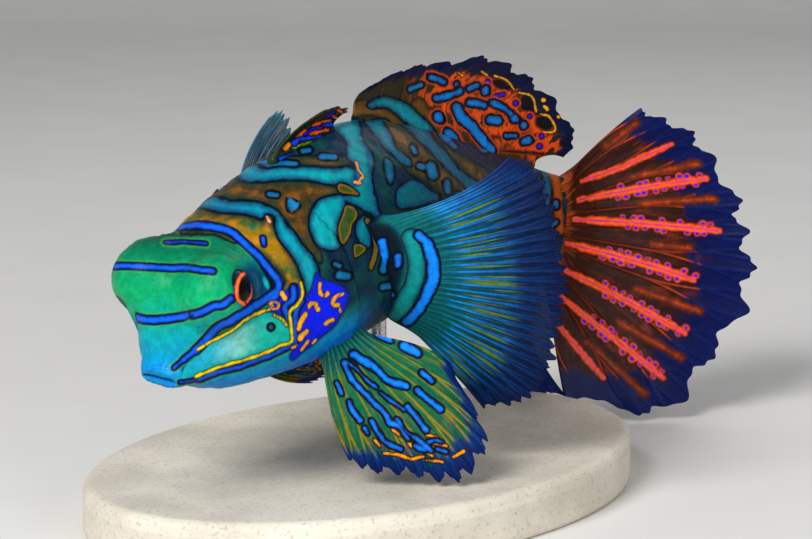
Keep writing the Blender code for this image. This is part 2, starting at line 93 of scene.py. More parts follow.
def smooth_table(keys: tuple[Row, ...], at: Array | float) -> Array:
    """Read a keyed table on a curve that never overshoots.

    Args:
        keys: Rows of a place followed by its values.
        at: Places to read.

    Returns:
        One row of values for each place.
    """
    rows = np.array(keys, float)
    places, values = rows[:, 0], rows[:, 1:]
    steps = np.diff(places)[:, None]
    slopes = np.diff(values, axis=0) / steps
    before, after = slopes[:-1], slopes[1:]
    same_way = before * after > 0
    mean = 2 * before * after / np.where(same_way, before + after, 1.0)
    tangents = np.zeros_like(values)
    tangents[1:-1] = np.where(same_way, mean, 0.0)
    tangents[0], tangents[-1] = slopes[0], slopes[-1]
    at = np.clip(np.asarray(at, float), places[0], places[-1])
    cell = np.clip(np.searchsorted(places, at, side="right") - 1, 0, len(places) - 2)
    width = steps[cell]
    t = (at[..., None] - places[cell][..., None]) / width
    return (
        values[cell] * (1 + 2 * t) * (1 - t) ** 2
        + tangents[cell] * width * t * (1 - t) ** 2
        + values[cell + 1] * t**2 * (3 - 2 * t)
        + tangents[cell + 1] * width * t**2 * (t - 1)
    )


def smooth_step(low: float, high: float, value: Array | float) -> Array:
    """Ease from 0 at low to 1 at high, which may be the smaller of the two."""
    t = np.clip((np.asarray(value, float) - low) / (high - low), 0.0, 1.0)
    return t * t * (3 - 2 * t)


def unit(vectors: Array) -> Array:
    """Scale vectors to a length of one."""
    return vectors / np.maximum(np.linalg.norm(vectors, axis=-1, keepdims=True), 1e-9)


def ripple(points: Array, size: float, seed: int) -> Array:
    """Smooth waves over space, from about -1 to 1.

    Args:
        points: Points in millimetres.
        size: Length of a wave.
        seed: Seed of the waves' directions.

    Returns:
        One value for each point.
    """
    draw = np.random.default_rng(seed)
    ways = unit(draw.normal(size=(RIPPLE_WAVES, 3)))
    ways = ways * draw.uniform(*RIPPLE_STRETCH, (RIPPLE_WAVES, 1))
    phases = draw.uniform(0, 2 * math.pi, RIPPLE_WAVES)
    return np.sin(points @ ways.T * (2 * math.pi / size) + phases).sum(-1) / RIPPLE_HEIGHT


@dataclass(frozen=True)
class ReferenceView:
    """The camera of the reference picture, in degrees, millimetres and pixels.

    The clip distances are metres, as the scene has them.
    """

    azimuth: float = -50.0
    elevation: float = 10.388
    distance: float = 230.33
    target: Row = (-0.5, -4.4, 18.3)
    focal: float = 3100.0
    width: int = 812
    height: int = 539
    sensor: float = 36.0
    clip_near: float = 0.005
    clip_far: float = 20.0

    def axes(self) -> tuple[Array, Array, Array]:
        """Directions of the camera's right, up and back."""
        turn, lift = math.radians(self.azimuth), math.radians(self.elevation)
        back = np.array([
            math.sin(turn) * math.cos(lift), -math.cos(turn) * math.cos(lift), math.sin(lift)
        ])
        right = np.array([math.cos(turn), math.sin(turn), 0.0])
        return right, np.cross(back, right), back

    def pixels(self, points: Array) -> Array:
        """Pixels at which points are seen.

        Args:
            points: Points in millimetres, in an array whose last axis is X, Y and Z.

        Returns:
            Pixels across and down, in an array whose last axis has the two.
        """
        right, up, back = self.axes()
        offset = points - (np.array(self.target) + back * self.distance)
        depth = -(offset @ back)
        across = self.width / 2 + self.focal * (offset @ right) / depth
        down = self.height / 2 - self.focal * (offset @ up) / depth
        return np.stack([across, down], -1)

    def make_camera(self) -> bpy.types.Object:
        """Make the scene's camera."""
        _, _, back = self.axes()
        lens = bpy.data.cameras.new("camera")
        lens.sensor_width = self.sensor
        lens.lens = self.focal / self.width * self.sensor
        lens.clip_start = self.clip_near
        lens.clip_end = self.clip_far
        camera = bpy.data.objects.new("camera", lens)
        bpy.context.scene.collection.objects.link(camera)
        camera.location = (np.array(self.target) + back * self.distance) * MM
        camera.rotation_euler = Vector(back).to_track_quat("Z", "Y").to_euler()
        bpy.context.scene.camera = camera
        return camera


VIEW = ReferenceView()


class Spine:
    """The bent middle line of the fish, with a frame at every station."""

    step = 0.25
    start = -3.0
    end = 62.0
    reference_station = 24.0
    reference_point = (0.0, 0.0, 20.9)
    keys = (
        # station, yaw, pitch, roll
        (0.0, 2.0, -31.0, -5.0),
        (7.0, -0.8, -25.2, -4.0),
        (14.0, -3.0, -19.0, 3.0),
        (26.0, 10.0, -1.0, 4.0),
        (38.0, 11.0, 9.0, 0.0),
        (48.0, 8.0, 14.0, -2.0),
        (54.0, -2.0, 14.0, 0.0),
        (60.0, -16.0, 13.0, 0.0),
    )

    def __init__(self) -> None:
        """Lay the line out and stand a frame at each step."""
        self.stations = np.arange(self.start, self.end + self.step, self.step)
        yaw, pitch, roll = np.radians(smooth_table(self.keys, self.stations)).T
        level = np.zeros_like(yaw)
        forward = np.stack([-np.cos(yaw), -np.sin(yaw), level], 1)
        forward = forward * np.cos(pitch)[:, None]
        forward[:, 2] = np.sin(pitch)
        level_left = np.stack([np.sin(yaw), -np.cos(yaw), level], 1)
        level_up = np.cross(forward, level_left)
        turn, rise = np.cos(roll)[:, None], np.sin(roll)[:, None]
        self.back = -forward
        self.left = level_left * turn + level_up * rise
        self.up = level_up * turn - level_left * rise
        path = np.cumsum(self.back * self.step, axis=0)
        begin = np.searchsorted(self.stations, self.reference_station)
        self.points = path - path[begin] + np.array(self.reference_point)

    def frames(self, station: Array | float) -> list[Array]:
        """Point, back, left and up at stations."""
        return [
            np.stack([np.interp(station, self.stations, rows[:, k]) for k in range(3)], -1)
            for rows in (self.points, self.back, self.left, self.up)
        ]

    def place(self, local: Array) -> Array:
        """World points of rows of station, distance out and distance up."""
        point, _, left, up = self.frames(local[..., 0])
        return point + left * local[..., 1:2] + up * local[..., 2:3]


SPINE = Spine()


@dataclass(frozen=True)
class Eye:
    """Place and sizes of the left eye, by station, out and up."""

    centre: Row = (5.1, 3.25, 4.55)
    axis: Row = (0.3, 0.92, 0.2)
    radius: float = 2.2
    opening: float = 1.35
    cornea_radius: float = 1.6
    cornea_rise: float = 0.16
    mound_radius: float = 2.75
    mound_height: float = 2.0
    mound_blend: float = 1.2
    mound_edge: float = 0.3
    last_station: float = 11.0
    fold: float = 0.05
    fold_width: float = 0.2
    lid_edge: float = 0.06
    socket_depth: float = 0.35

    def local_frame(self, side: float) -> tuple[Array, Array]:
        """Centre and looking direction by station, out and up."""
        axis = np.array(self.axis) * [1.0, side, 1.0]
        return np.array(self.centre) * [1.0, side, 1.0], axis / np.linalg.norm(axis)

    def world_frame(self, side: float) -> tuple[Array, Array]:
        """Centre and looking direction in the world."""
        centre, axis = self.local_frame(side)
        middle = SPINE.place(centre)
        return middle, unit(SPINE.place(centre + axis) - middle)

    def outside(self, local: Array) -> Array:
        """Distances of points outside the nearer eye's mound, a ball cut flat.

        Args:
            local: Rows of station, distance out and distance up.

        Returns:
            Distances, below zero inside the mound.
        """
        nearest = np.full(local.shape[:-1], np.inf)
        for side in (1.0, -1.0):
            centre, axis = self.local_frame(side)
            offset = local - centre
            around = np.linalg.norm(offset, axis=-1) - self.mound_radius
            ahead = offset @ axis - self.mound_height
            apart = around - ahead
            sharp = np.sqrt(apart**2 + self.mound_edge**2)
            nearest = np.minimum(nearest, 0.5 * (around + ahead + sharp))
        return nearest

    def open_lids(self, points: Array) -> Array:
        """Sink the skin under the eyeball and fold it about the opening.

        Args:
            points: World points of the skin.

        Returns:
            The points after the change.
        """
        points = points.copy()
        for side in (1.0, -1.0):
            middle, ahead = self.world_frame(side)
            offset = points - middle
            along = offset @ ahead
            across = np.linalg.norm(offset - along[..., None] * ahead, axis=-1)
            shell = np.sqrt(np.clip(self.radius**2 - across**2, 0.0, None))
            from_fold = (across - self.opening - self.fold_width) / self.fold_width
            rim = self.fold * np.exp(-(from_fold**2))
            inside = smooth_step(
                self.opening + self.lid_edge, self.opening - self.fold_width, across
            )
            goal = (along + rim) * (1 - inside) + (shell - self.socket_depth) * inside
            points += ahead * ((goal - along) * (along > 0))[..., None]
        return points


EYE = Eye()


@dataclass(frozen=True)
class Body:
    """Girth of the fish, and the sizes of its face."""

    girth: tuple[Row, ...] = (
        # station, half width, top, bottom, power above, power below
        (0.0, 1.6, 0.8, 0.6, 2.2, 2.2),
        (0.7, 2.1, 1.2, 1.0, 2.4, 2.2),
        (1.3, 2.6, 2.1, 1.4, 2.7, 2.2),
        (2.2, 3.2, 3.5, 2.4, 3.0, 2.3),
        (4.0, 4.5, 5.4, 3.6, 3.0, 2.4),
        (6.0, 5.2, 6.1, 4.4, 2.9, 2.5),
        (8.0, 5.9, 6.7, 5.1, 2.5, 2.5),
        (11.0, 6.4, 7.2, 6.0, 2.3, 2.5),
        (14.0, 6.8, 7.6, 6.6, 2.15, 2.4),
        (18.0, 7.0, 8.0, 6.6, 2.05, 2.3),
        (23.0, 6.8, 8.2, 6.4, 1.9, 2.2),
        (30.0, 5.6, 7.0, 6.0, 2.0, 2.1),
        (40.0, 3.7, 5.4, 5.0, 2.0, 2.0),
        (48.0, 2.4, 4.8, 4.5, 2.0, 2.0),
        (54.0, 1.3, 4.5, 4.3, 2.0, 2.0),
    )
    length: float = 54.0
    # rows of the lips: station, share of the width, share of the height
    lips: tuple[Row, ...] = (
        (1.6, 0.86, 0.03),
        (0.9, 0.9, 0.05),
        (0.45, 0.93, 0.1),
        (0.2, 0.95, 0.22),
        (0.05, 0.96, 0.42),
        (-0.02, 0.97, 0.66),
        (0.0, 0.99, 0.88),
    )
    nostril: Row = (7.6, 63.0)
    nostril_radius: float = 0.4
    gill_pore: Row = (12.7, 52.0)
    gill_pore_radius: float = 0.6
    columns: int = 264
    highest_lift: float = 4.0
    lift_steps: int = 41

    def outline(self, station: Array, turn: Array, grow: Array | float = 0.0) -> Array:
        """Rows of station, out and up on the plain body.

        Args:
            station: Stations of the points.
            turn: Angles from the left side over the back, in radians.
            grow: Distance outside the skin.

        Returns:
            Rows of station, distance out and distance up.
        """
        station, turn, grow = np.broadcast_arrays(station, turn, grow)
        keys = smooth_table(self.girth, station)
        over = np.sin(turn) >= 0
        height = np.where(over, keys[..., 1], keys[..., 2]) + grow
        power = 2 / np.where(over, keys[..., 3], keys[..., 4])
        wide = np.sign(np.cos(turn)) * np.abs(np.cos(turn)) ** power
        tall = np.sign(np.sin(turn)) * np.abs(np.sin(turn)) ** power
        return np.stack([station, (keys[..., 0] + grow) * wide, height * tall], -1)

    def skin(self, station: Array, turn: Array, grow: Array | float = 0.0) -> Array:
        """Rows of station, out and up on the skin, with the mounds over the eyes.

        Args:
            station: Stations of the points.
            turn: Angles from the left side over the back, in radians.
            grow: Distance outside the skin.

        Returns:
            Rows of station, distance out and distance up.
        """
        station, turn, grow = np.broadcast_arrays(station, turn, grow)
        local = self.outline(station, turn, grow)
        near = station < EYE.last_station
        if not near.any():
            return local
        lifts = np.linspace(0.0, self.highest_lift, self.lift_steps)
        apart = EYE.outside(self.outline(station[near][:, None], turn[near][:, None], lifts))
        share = np.clip(0.5 + 0.5 * (apart - lifts) / EYE.mound_blend, 0, 1)
        both = apart * (1 - share) + lifts * share - EYE.mound_blend * share * (1 - share)
        inside = both < 0
        last = np.clip(len(lifts) - 1 - np.argmax(inside[:, ::-1], axis=1), 0, len(lifts) - 2)
        rows = np.arange(len(last))
        here, after = both[rows, last], both[rows, last + 1]
        lift = lifts[last] + lifts[1] * here / np.where(inside.any(axis=1), here - after, 1.0)
        lift = np.where(inside.any(axis=1), lift, 0.0)
        local[near] = self.outline(station[near], turn[near], grow[near] + lift)
        return local

    def point(self, station: Array | float, turn: Array | float, grow: float = 0.0) -> Array:
        """World points on the skin, or a distance outside it."""
        return SPINE.place(self.skin(np.asarray(station, float), np.asarray(turn, float), grow))


BODY = Body()


@dataclass(frozen=True)
class Stroke:
    """A line of one ink through pixels of the reference view."""

    ink: Ink
    width: float
    line: tuple[Point, ...]

    def course(self) -> Array:
        """The smooth line through the points."""
        return smooth_line(np.array(self.line, float), closed=False)

    def distances(self, places: Array) -> Array:
        """Signed distance of places from the stroke's edge, in pixels."""
        return distance_to_line(places, self.course()) - self.width / 2


@dataclass(frozen=True)
class Patch:
    """A closed area of one ink, by the pixels of its rim in the reference view."""

    ink: Ink
    rim: tuple[Point, ...]
    width: float = 0.0

    def course(self) -> Array:
        """The smooth closed line round the area."""
        return smooth_line(np.array(self.rim, float), closed=True)

    def distances(self, places: Array) -> Array:
        """Signed distance of places from the rim, in pixels, less than 0 inside."""
        rim = self.course()
        start, end = rim[:-1], rim[1:]
        over = (start[:, 1] > places[:, 1:]) != (end[:, 1] > places[:, 1:])
        rise = np.where(end[:, 1] == start[:, 1], 1e-9, end[:, 1] - start[:, 1])
        cross = start[:, 0] + (places[:, 1:] - start[:, 1]) * (end - start)[:, 0] / rise
        inside = np.sum(over & (places[:, :1] < cross), axis=1) % 2 == 1
        return np.where(inside, -1.0, 1.0) * distance_to_line(places, rim)


Mark = Stroke | Patch


def strokes(ink: Ink, *rows: tuple[float | Point, ...]) -> tuple[Stroke, ...]:
    """Strokes of one ink, each from a row of its width and its points."""
    return tuple(Stroke(ink, width, tuple(line)) for width, *line in rows)


def patches(ink: Ink, *rims: tuple[Point, ...]) -> tuple[Patch, ...]:
    """Patches of one ink, each from the points of its rim."""
    return tuple(Patch(ink, rim) for rim in rims)


def smooth_line(points: Array, closed: bool, steps: int = 5) -> Array:
    """A smooth line through points.

    Args:
        points: Points of the line, in rows.
        closed: Whether the line returns to its start.
        steps: Pieces between two points.

    Returns:
        Points of the smooth line, in rows.
    """
    if len(points) < 3:
        return np.vstack([points, points[-1:] + 0.01])
    if closed:
        padded = np.vstack([points[-1:], points, points[:2]])
    else:
        padded = np.vstack([2 * points[0] - points[1], points, 2 * points[-1] - points[-2]])
    before, start, end, after = padded[:-3], padded[1:-2], padded[2:-1], padded[3:]
    t = np.arange(steps)[:, None, None] / steps
    curve = 0.5 * (
        2 * start + (end - before) * t
        + (2 * before - 5 * start + 4 * end - after) * t**2
        + (3 * start - before - 3 * end + after) * t**3
    )
    return np.vstack([curve.transpose(1, 0, 2).reshape(-1, 2), end[-1:]])


def distance_to_line(places: Array, line: Array) -> Array:
    """Distance from places to a line of straight pieces."""
    best = np.full(len(places), np.inf)
    for start, end in zip(line, line[1:]):
        way = end - start
        share = np.clip((places - start) @ way / max(way @ way, 1e-9), 0, 1)
        best = np.minimum(best, np.hypot(*(places - start - share[:, None] * way).T))
    return best


def lay_marks(places: Array, marks: tuple[Mark, ...]) -> dict[Ink, Array]:
    """Distance from places to the nearest edge of each ink.

    Args:
        places: Pixels of the reference view, in rows.
        marks: Marks to lay.

    Returns:
        One array for each ink that the marks use, at most MARK_REACH.
    """
    found = {mark.ink: np.full(len(places), MARK_REACH) for mark in marks}
    for mark in marks:
        course = mark.course()
        margin = MARK_REACH + mark.width / 2
        low, high = course.min(0) - margin, course.max(0) + margin
        near = np.flatnonzero(np.all((places > low) & (places < high), axis=1))
        if near.size:
            under = found[mark.ink][near]
            over = mark.distances(places[near])
            share = np.clip(0.5 + 0.5 * (under - over) / MARK_BLEND, 0, 1)
            blend = under * (1 - share) + over * share - MARK_BLEND * share * (1 - share)
            close = np.abs(under - over) < MARK_BLEND
            found[mark.ink][near] = np.where(close, blend, np.minimum(under, over))
    return found


# Marks of the face, the nape and the cheek, with painted shade about the eye and a painted highlight on
# the upper lip. All marks are pixels of the reference view.
HEAD_MARKS: tuple[Mark, ...] = (
    *strokes(
        Ink.ROYAL,
        (5, (112, 266), (129, 266), (149, 267), (169, 268), (188, 268), (202, 270), (213, 271)),
        (6.5, (116, 301), (123, 310), (135, 317), (149, 320), (167, 319), (186, 316), (202, 312),
         (214, 306), (222, 305), (231, 299)),
        (2.4, (165.5, 242.5), (185.5, 242), (206, 243.5)),
        (6.5, (181, 227), (198, 226), (214, 227), (231, 232), (243, 242), (256, 254), (269, 269),
         (278, 281), (278, 291), (272, 301)),
        (3, (174, 368), (181, 362), (189, 355)), (5, (184, 359.5), (194, 351), (202, 344)),
        (7.5, (196, 350), (205, 341), (217, 328), (231, 321), (247, 311), (263, 301), (275, 293)),
        (2, (180, 382), (190, 381), (202, 378)),
        (4.5, (200, 379), (214, 373), (239, 367), (255, 361), (276, 353), (291, 345)),
        (5.5, (293, 287), (293, 299), (285, 307), (289, 321)),
        (5, (302, 301), (296, 311), (295, 327), (295, 342)), (4.4, (263, 238), (264, 244)),
    ),
    *strokes(
        Ink.AZURE,
        (5, (271, 327)), (4.5, (272, 194)), (4.2, (269, 194), (277, 195)), (8, (291, 203), (295, 205)),
        (7, (339, 275), (347, 276)), (4, (335, 264), (339, 266)), (7, (385, 244), (387, 256), (383, 270)),
        (4, (402, 256), (402, 262)), (6, (383, 287), (398, 285)), (4, (268, 165), (282, 163), (296, 164)),
        (4.4, (321, 156.5), (335, 157)), (5, (303, 151), (309, 150)),
    ),
    *strokes(
        Ink.YELLOW,
        (2.8, (198, 349.5), (210, 342), (230.5, 331.5), (247, 319), (261, 312), (270, 309.5),
         (272.5, 305.5)),
        (2.8, (273.5, 315), (281.5, 319), (286.5, 325)),
        (3, (301, 282.5), (302.5, 294.5), (297, 305), (290, 312), (291, 323.5), (292, 336), (291, 342),
         (279.5, 346), (263.5, 353.5), (243, 360.5), (222.5, 366), (206, 372), (196, 376.5)),
        (2.4, (292, 348), (296.5, 345.5)),
    ),
    *strokes(
        Ink.EARTH,
        (4, (183, 232), (202, 232), (218, 233), (235, 241)),
    ),
    *patches(
        Ink.EARTH,
        ((192, 214), (214, 213), (241, 215), (253, 218), (263, 221), (266, 216), (272, 217), (273, 226),
         (284, 245), (294, 260), (301, 275), (304, 291), (298, 303), (296, 291), (289, 291), (285, 295),
         (280, 291), (285, 282), (278, 271), (267, 260), (255, 251), (243, 241), (231, 232), (214, 227),
         (190, 225), (182, 227), (178, 229)),
        ((233, 183), (259, 184), (284, 182), (304, 182), (320, 184), (333, 187), (339, 192), (329, 196),
         (317, 200), (311, 209), (309, 221), (310, 234), (318, 248), (322, 262), (314, 258), (304, 245),
         (296, 233), (289, 225), (280, 211), (264, 203), (247, 199), (224, 199), (206, 196), (214, 191)),
        ((257, 158), (263, 166), (284, 164), (314, 166), (335, 167), (349, 164), (351, 157)),
    ),
    *strokes(
        Ink.EARTH,
        (3.4, (253, 175), (259, 174)),
    ),
    *patches(
        Ink.TEAL,
        ((206, 198), (222, 202), (247, 202), (263, 205), (278, 213), (288, 227), (296, 236), (304, 248),
         (314, 260), (318, 274), (313, 287), (307, 297), (306, 287), (299, 267), (291, 253), (280, 239),
         (276, 227), (275, 216), (266, 213), (261, 218), (253, 215), (241, 213), (214, 211), (194, 211),
         (190, 213), (193, 208), (198, 202)),
        ((235, 178), (247, 172), (263, 169), (284, 167), (314, 168), (335, 169), (348, 167), (355, 172),
         (353, 180), (355, 187), (343, 182), (333, 184), (316, 181), (300, 179), (284, 179), (259, 181),
         (241, 181)),
        ((322, 199), (341, 196), (345, 202), (343, 211), (338, 223), (337, 238), (339, 247), (331, 250),
         (320, 247), (313, 236), (310, 223), (313, 209)),
        ((352, 174), (358, 184), (365, 172), (369, 152), (373, 160), (371, 180), (376, 201), (381, 221),
         (371, 213), (363, 209), (355, 204), (348, 201), (343, 197), (353, 195), (358, 193), (354, 187)),
        ((358, 222), (364, 216), (369, 222), (370, 235), (370, 245), (366, 247), (360, 240), (356, 232)),
    ),
    *patches(
        Ink.OLIVE,
        ((339, 184), (346, 185), (356, 192), (358, 195), (348, 194), (339, 191)),
        ((346, 206), (354, 208), (357, 216), (352, 224), (350, 233), (347, 240), (343, 244), (340, 237),
         (339, 228), (342, 217)),
        ((355, 245), (361, 245), (366, 249), (361, 254), (356, 257), (354, 251)),
    ),
    *strokes(
        Ink.OLIVE,
        (4, (367, 220), (373, 232), (376, 244), (374, 258), (371, 268)),
    ),
    *patches(
        Ink.FIELD,
        ((315, 273), (324, 280), (337, 284), (348, 293), (345, 307), (339, 319), (331, 329), (320, 338),
         (308, 348), (296, 358), (291, 360), (290, 355), (293, 349), (293, 340), (296, 323), (296, 311),
         (302, 301), (312, 289)),
        ((270, 303), (284, 293), (297, 284), (304, 295), (296, 311), (295, 336), (292, 336), (290, 321),
         (280, 315)),
    ),
    *patches(
        Ink.JAW,
        ((196, 356), (208, 344), (222, 336), (243, 324), (257, 316), (270, 313), (281, 318), (288, 326),
         (291, 336), (291, 341), (280, 345), (263, 352), (243, 359), (222, 364), (206, 370), (196, 375),
         (182, 379), (186, 366)),
        ((263, 277), (270, 281), (269, 289), (265, 285)),
    ),
    *patches(
        Ink.FACE,
        ((80, 225), (130, 222), (180, 229), (232, 234), (258, 254), (276, 275), (279, 290), (268, 302),
         (220, 330), (182, 362), (190, 378), (215, 374), (296, 344), (300, 356), (240, 385), (180, 400),
         (130, 405), (70, 400), (60, 300)),
    ),
    # Painted shade: a dark teal zone round the eye, over the sides of its mound.
    *patches(
        Ink.EYE_MOUND_SHADE,
        ((235, 292), (236, 274), (243, 262), (256, 258), (270, 270), (277, 284), (274, 297), (262, 305),
         (248, 311), (238, 306)),
    ),
    # Painted shade: the dark patch along the right side of the eye's mound.
    *patches(
        Ink.DARK,
        ((258, 262), (266, 268), (275, 283), (273, 293), (266, 298), (270, 285)),
    ),
    # Painted highlight: a pale blue streak along the upper lip, in the lip's own blue.
    *strokes(
        Ink.PALE,
        (2.4, (148, 369), (158, 367), (168, 369)),
    ),
    *strokes(
        Ink.AMBER,
        (3.4, (320, 283), (319.5, 290), (321.5, 295), (326, 296), (328, 292.5)),
        (3.4, (342.7, 294), (336, 296.6), (332.6, 302), (334.5, 305.5), (339, 305)),
        (2, (340, 308.7), (341, 312)), (3.8, (309, 307), (311.5, 303.5), (315.5, 303.5)),
        (5, (318, 309.5)), (4.4, (305.7, 313.8), (301, 320.7), (299, 329)),
        (5, (306.5, 331.5), (302.5, 335), (300, 338.5)), (3.4, (325.5, 324), (329, 321), (332.4, 319.5)),
        (3, (301.4, 350), (305, 345), (308, 341.5)), (2.2, (312.6, 343), (316, 339.7)),
        (3, (292, 348), (295, 346.5)), (4.6, (281.6, 293), (285, 298.5)),
        (3, (270, 304), (274, 301.5), (278.5, 304.5), (277, 308.5), (272, 309)),
        (2.6, (356, 162), (359, 170), (363, 176), (360, 179)), (3, (355, 182), (360, 183)),
        (3.4, (267, 217), (269.5, 222)),
    ),
)

# Marks of the flank and the second dorsal fin, which run from one onto the other.
FLANK_MARKS: tuple[Mark, ...] = (
    *patches(
        Ink.TEAL,
        ((367, 105), (375, 99), (385, 97), (396, 100), (403, 103), (410, 107), (416, 115), (423, 123),
         (429, 133), (436, 143), (446, 153), (454, 164), (463, 173), (471, 179), (479, 185), (471, 193),
         (463, 183), (453, 174), (443, 164), (433, 153), (423, 143), (413, 133), (403, 125), (396, 118),
         (393, 113), (385, 107), (376, 107), (370, 108)),
        ((366, 121), (375, 120), (381, 121), (386, 128), (391, 138), (396, 148), (405, 156), (411, 163),
         (410, 166), (403, 163), (395, 156), (386, 148), (380, 140), (373, 131), (368, 126)),
        ((333, 127), (343, 122), (355, 120), (360, 128), (362, 140), (368, 150), (371, 163), (371, 183),
         (374, 199), (377, 213), (370, 210), (362, 203), (357, 198), (355, 166), (348, 158), (347, 143),
         (340, 133)),
        ((398, 191), (403, 185), (413, 181), (423, 185), (433, 193), (439, 195), (438, 199), (423, 204),
         (401, 208), (397, 199)),
        ((385, 161), (388, 159), (392, 166), (394, 176), (391, 184), (387, 178)),
    ),
    *strokes(
        Ink.TEAL,
        (7.5, (544, 168), (547, 176), (547, 193), (544, 208), (539, 216), (534, 231)),
    ),
    *patches(
        Ink.TEAL,
        ((430, 205), (446, 203), (462, 216), (480, 236), (497, 262), (509, 291), (513, 310), (505, 306),
         (494, 283), (476, 258), (457, 237), (438, 220)),
        ((395, 222), (410, 218), (425, 228), (444, 250), (462, 278), (474, 304), (472, 318), (458, 306),
         (444, 284), (424, 258), (404, 238)),
        ((490, 186), (503, 186), (517, 203), (527, 226), (534, 252), (536, 270), (528, 268), (519, 246),
         (507, 221), (493, 201)),
        ((384, 322), (398, 318), (424, 322), (450, 330), (474, 330), (460, 340), (430, 338), (400, 330)),
    ),
    *patches(
        Ink.EARTH,
        ((340, 110), (363, 100), (385, 110), (395, 120), (403, 128), (423, 145), (443, 166), (463, 184),
         (473, 196), (446, 198), (430, 183), (410, 173), (400, 159), (386, 130), (371, 116), (350, 116)),
        ((410, 105), (423, 100), (446, 143), (463, 156), (489, 173), (479, 183), (463, 169), (446, 150),
         (433, 136), (423, 120)),
        ((452, 196), (474, 204), (494, 226), (512, 254), (524, 284), (527, 300), (518, 296), (508, 272),
         (490, 246), (470, 222), (450, 206)),
        ((410, 210), (428, 214), (450, 234), (470, 258), (488, 288), (496, 310), (486, 312), (474, 290),
         (454, 262), (432, 238), (410, 222)),
    ),
    *strokes(
        Ink.AZURE,
        (4.5, (413, 147), (415, 152)), (5, (419, 166), (423, 167)), (10, (431, 167), (433, 174)),
        (6, (447, 183), (448, 191)), (5, (458, 195)), (4.6, (430, 77), (437, 79), (443, 82)),
        (5.6, (436, 98), (446, 96), (459, 91)), (4, (456, 84)), (3.8, (468, 88), (476, 85)),
        (7.5, (485, 90), (485, 91)), (5.8, (469, 103), (476, 103), (483, 105)),
        (5, (492, 103), (501, 107), (510, 113)), (9, (436, 117), (436, 118)),
        (9.5, (456, 108), (460, 116), (463, 121), (471, 127), (476, 136), (480, 142), (485, 148)),
        (9, (443, 133), (447, 138)), (4, (451, 143), (455, 147)), (8, (490, 120), (497, 120)),
        (7.5, (514, 118)), (6, (524, 125)), (6, (523, 141), (528, 140)),
        (3.4, (505, 135.5), (514.5, 135.5)), (4, (551, 226), (556, 222)), (5, (556, 203), (556, 206)),
        (8, (470, 212), (478, 222)), (8, (488, 238), (495, 250)), (8, (503, 264), (508, 276)),
        (8, (440, 226), (449, 237)), (8, (460, 250), (468, 263)), (8, (475, 276), (480, 290)),
        (8, (408, 290), (424, 294)), (8, (430, 304), (446, 308)), (7, (500, 208), (508, 222)),
        (7, (517, 236), (522, 250)),
    ),
    *strokes(
        Ink.ROYAL,
        (3.8, (410, 89), (420, 85)),
    ),
    *strokes(
        Ink.VIOLET,
        (4, (487, 81)), (3, (494, 96), (503, 94)), (4.6, (515, 103)), (4.4, (529, 116)),
        (4.4, (541, 136)), (5, (539, 146)),
    ),
    *strokes(
        Ink.DARK,
        (1.8, (491, 136), (509, 138), (522.5, 138), (542.5, 133)),
        (1.8, (496, 149.5), (512.5, 150.5), (542.5, 153.5)),
    ),
    *patches(
        Ink.DARK,
        ((492, 80), (502, 80), (511, 88), (506, 90), (496, 87)),
        ((521, 96), (529, 96), (534, 106), (532, 113), (526, 111), (520, 108)),
        ((537, 117), (548, 117), (553, 125), (546, 130), (536, 125)),
    ),
    *strokes(
        Ink.YELLOW,
        (1.8, (481.5, 71.5), (486.5, 75)), (2, (494, 75.5), (506, 80), (513.5, 89.5)),
        (2, (519, 92.5), (531.5, 96.5), (535.5, 111.5)),
        (2.2, (540.5, 114), (549, 116.5), (554.5, 126.5), (553, 131.5), (543, 132)), (5, (543, 100)),
        (3, (544, 106.5), (547, 109.5)), (3.6, (558, 116.5)), (2, (457.5, 72.5), (462, 75.5)),
    ),
    *strokes(
        Ink.PALE,
        (2.2, (534, 167), (554.5, 155.5)),
    ),
    *strokes(
        Ink.FLAME,
        (9, (549, 165), (557, 184), (558, 204), (560, 230)),
    ),
)

# Marks of the pelvic fins.
BELLY_MARKS: tuple[Mark, ...] = (
    *patches(
        Ink.AZURE,
        ((372, 331), (376, 324), (384, 322), (389, 331), (393, 342), (384, 341), (375, 337)),
    ),
    *strokes(
        Ink.AZURE,
        (8.5, (404, 346), (417, 353)), (4.8, (422, 373), (432, 381)),
        (6, (352, 358), (362, 362), (376, 370), (387, 380), (398, 384), (406, 386)),
        (5.6, (418, 391), (426, 398), (440, 409)),
        (3.8, (344, 366), (348, 374), (356, 385), (370, 399), (384, 413), (390, 423), (398, 426),
         (408, 439)),
        (1.4, (345.5, 364.5), (356, 370.5), (366, 380), (376.5, 388)),
        (2, (380.5, 393), (391, 401), (404, 409.5)), (4, (407, 407), (415, 416), (426, 430)),
        (2.8, (397, 419), (406.5, 431.5), (416.5, 438.5), (430.5, 450)),
        (3.4, (371.5, 420.5), (378.5, 433), (387, 443), (401, 448.5)),
        (3.8, (349, 402), (353, 411), (360, 420)), (3.2, (336.5, 383.5), (341.5, 394)),
        (2.4, (364.5, 428), (367.5, 433)), (2.6, (429, 441.5), (435.5, 440), (441.5, 442)),
        (2.4, (437.5, 448.5), (446, 451.5)), (3.2, (415, 445.5), (424, 450)),
    ),
    *strokes(
        Ink.YELLOW,
        (2.6, (384, 453), (398, 454.5), (412, 458.5), (423.5, 456)), (2.2, (426.5, 460), (442, 461.5)),
        (2.6, (453, 457), (463, 451.5)), (2, (426.5, 434.5), (437.5, 437.5)),
        (3.2, (434.5, 443), (446, 446)), (2.6, (392.5, 429), (400, 434.5)),
        (3.6, (408, 441.5), (411, 446)), (2, (415, 442), (432, 456)), (2.2, (374.5, 440), (380, 446)),
        (3.4, (397, 335.5)),
    ),
    *strokes(
        Ink.EARTH,
        (7, (394, 320), (398, 323)),
    ),
    *strokes(
        Ink.TEAL,
        (6, (318, 369), (321, 392), (328, 416)),
    ),
)

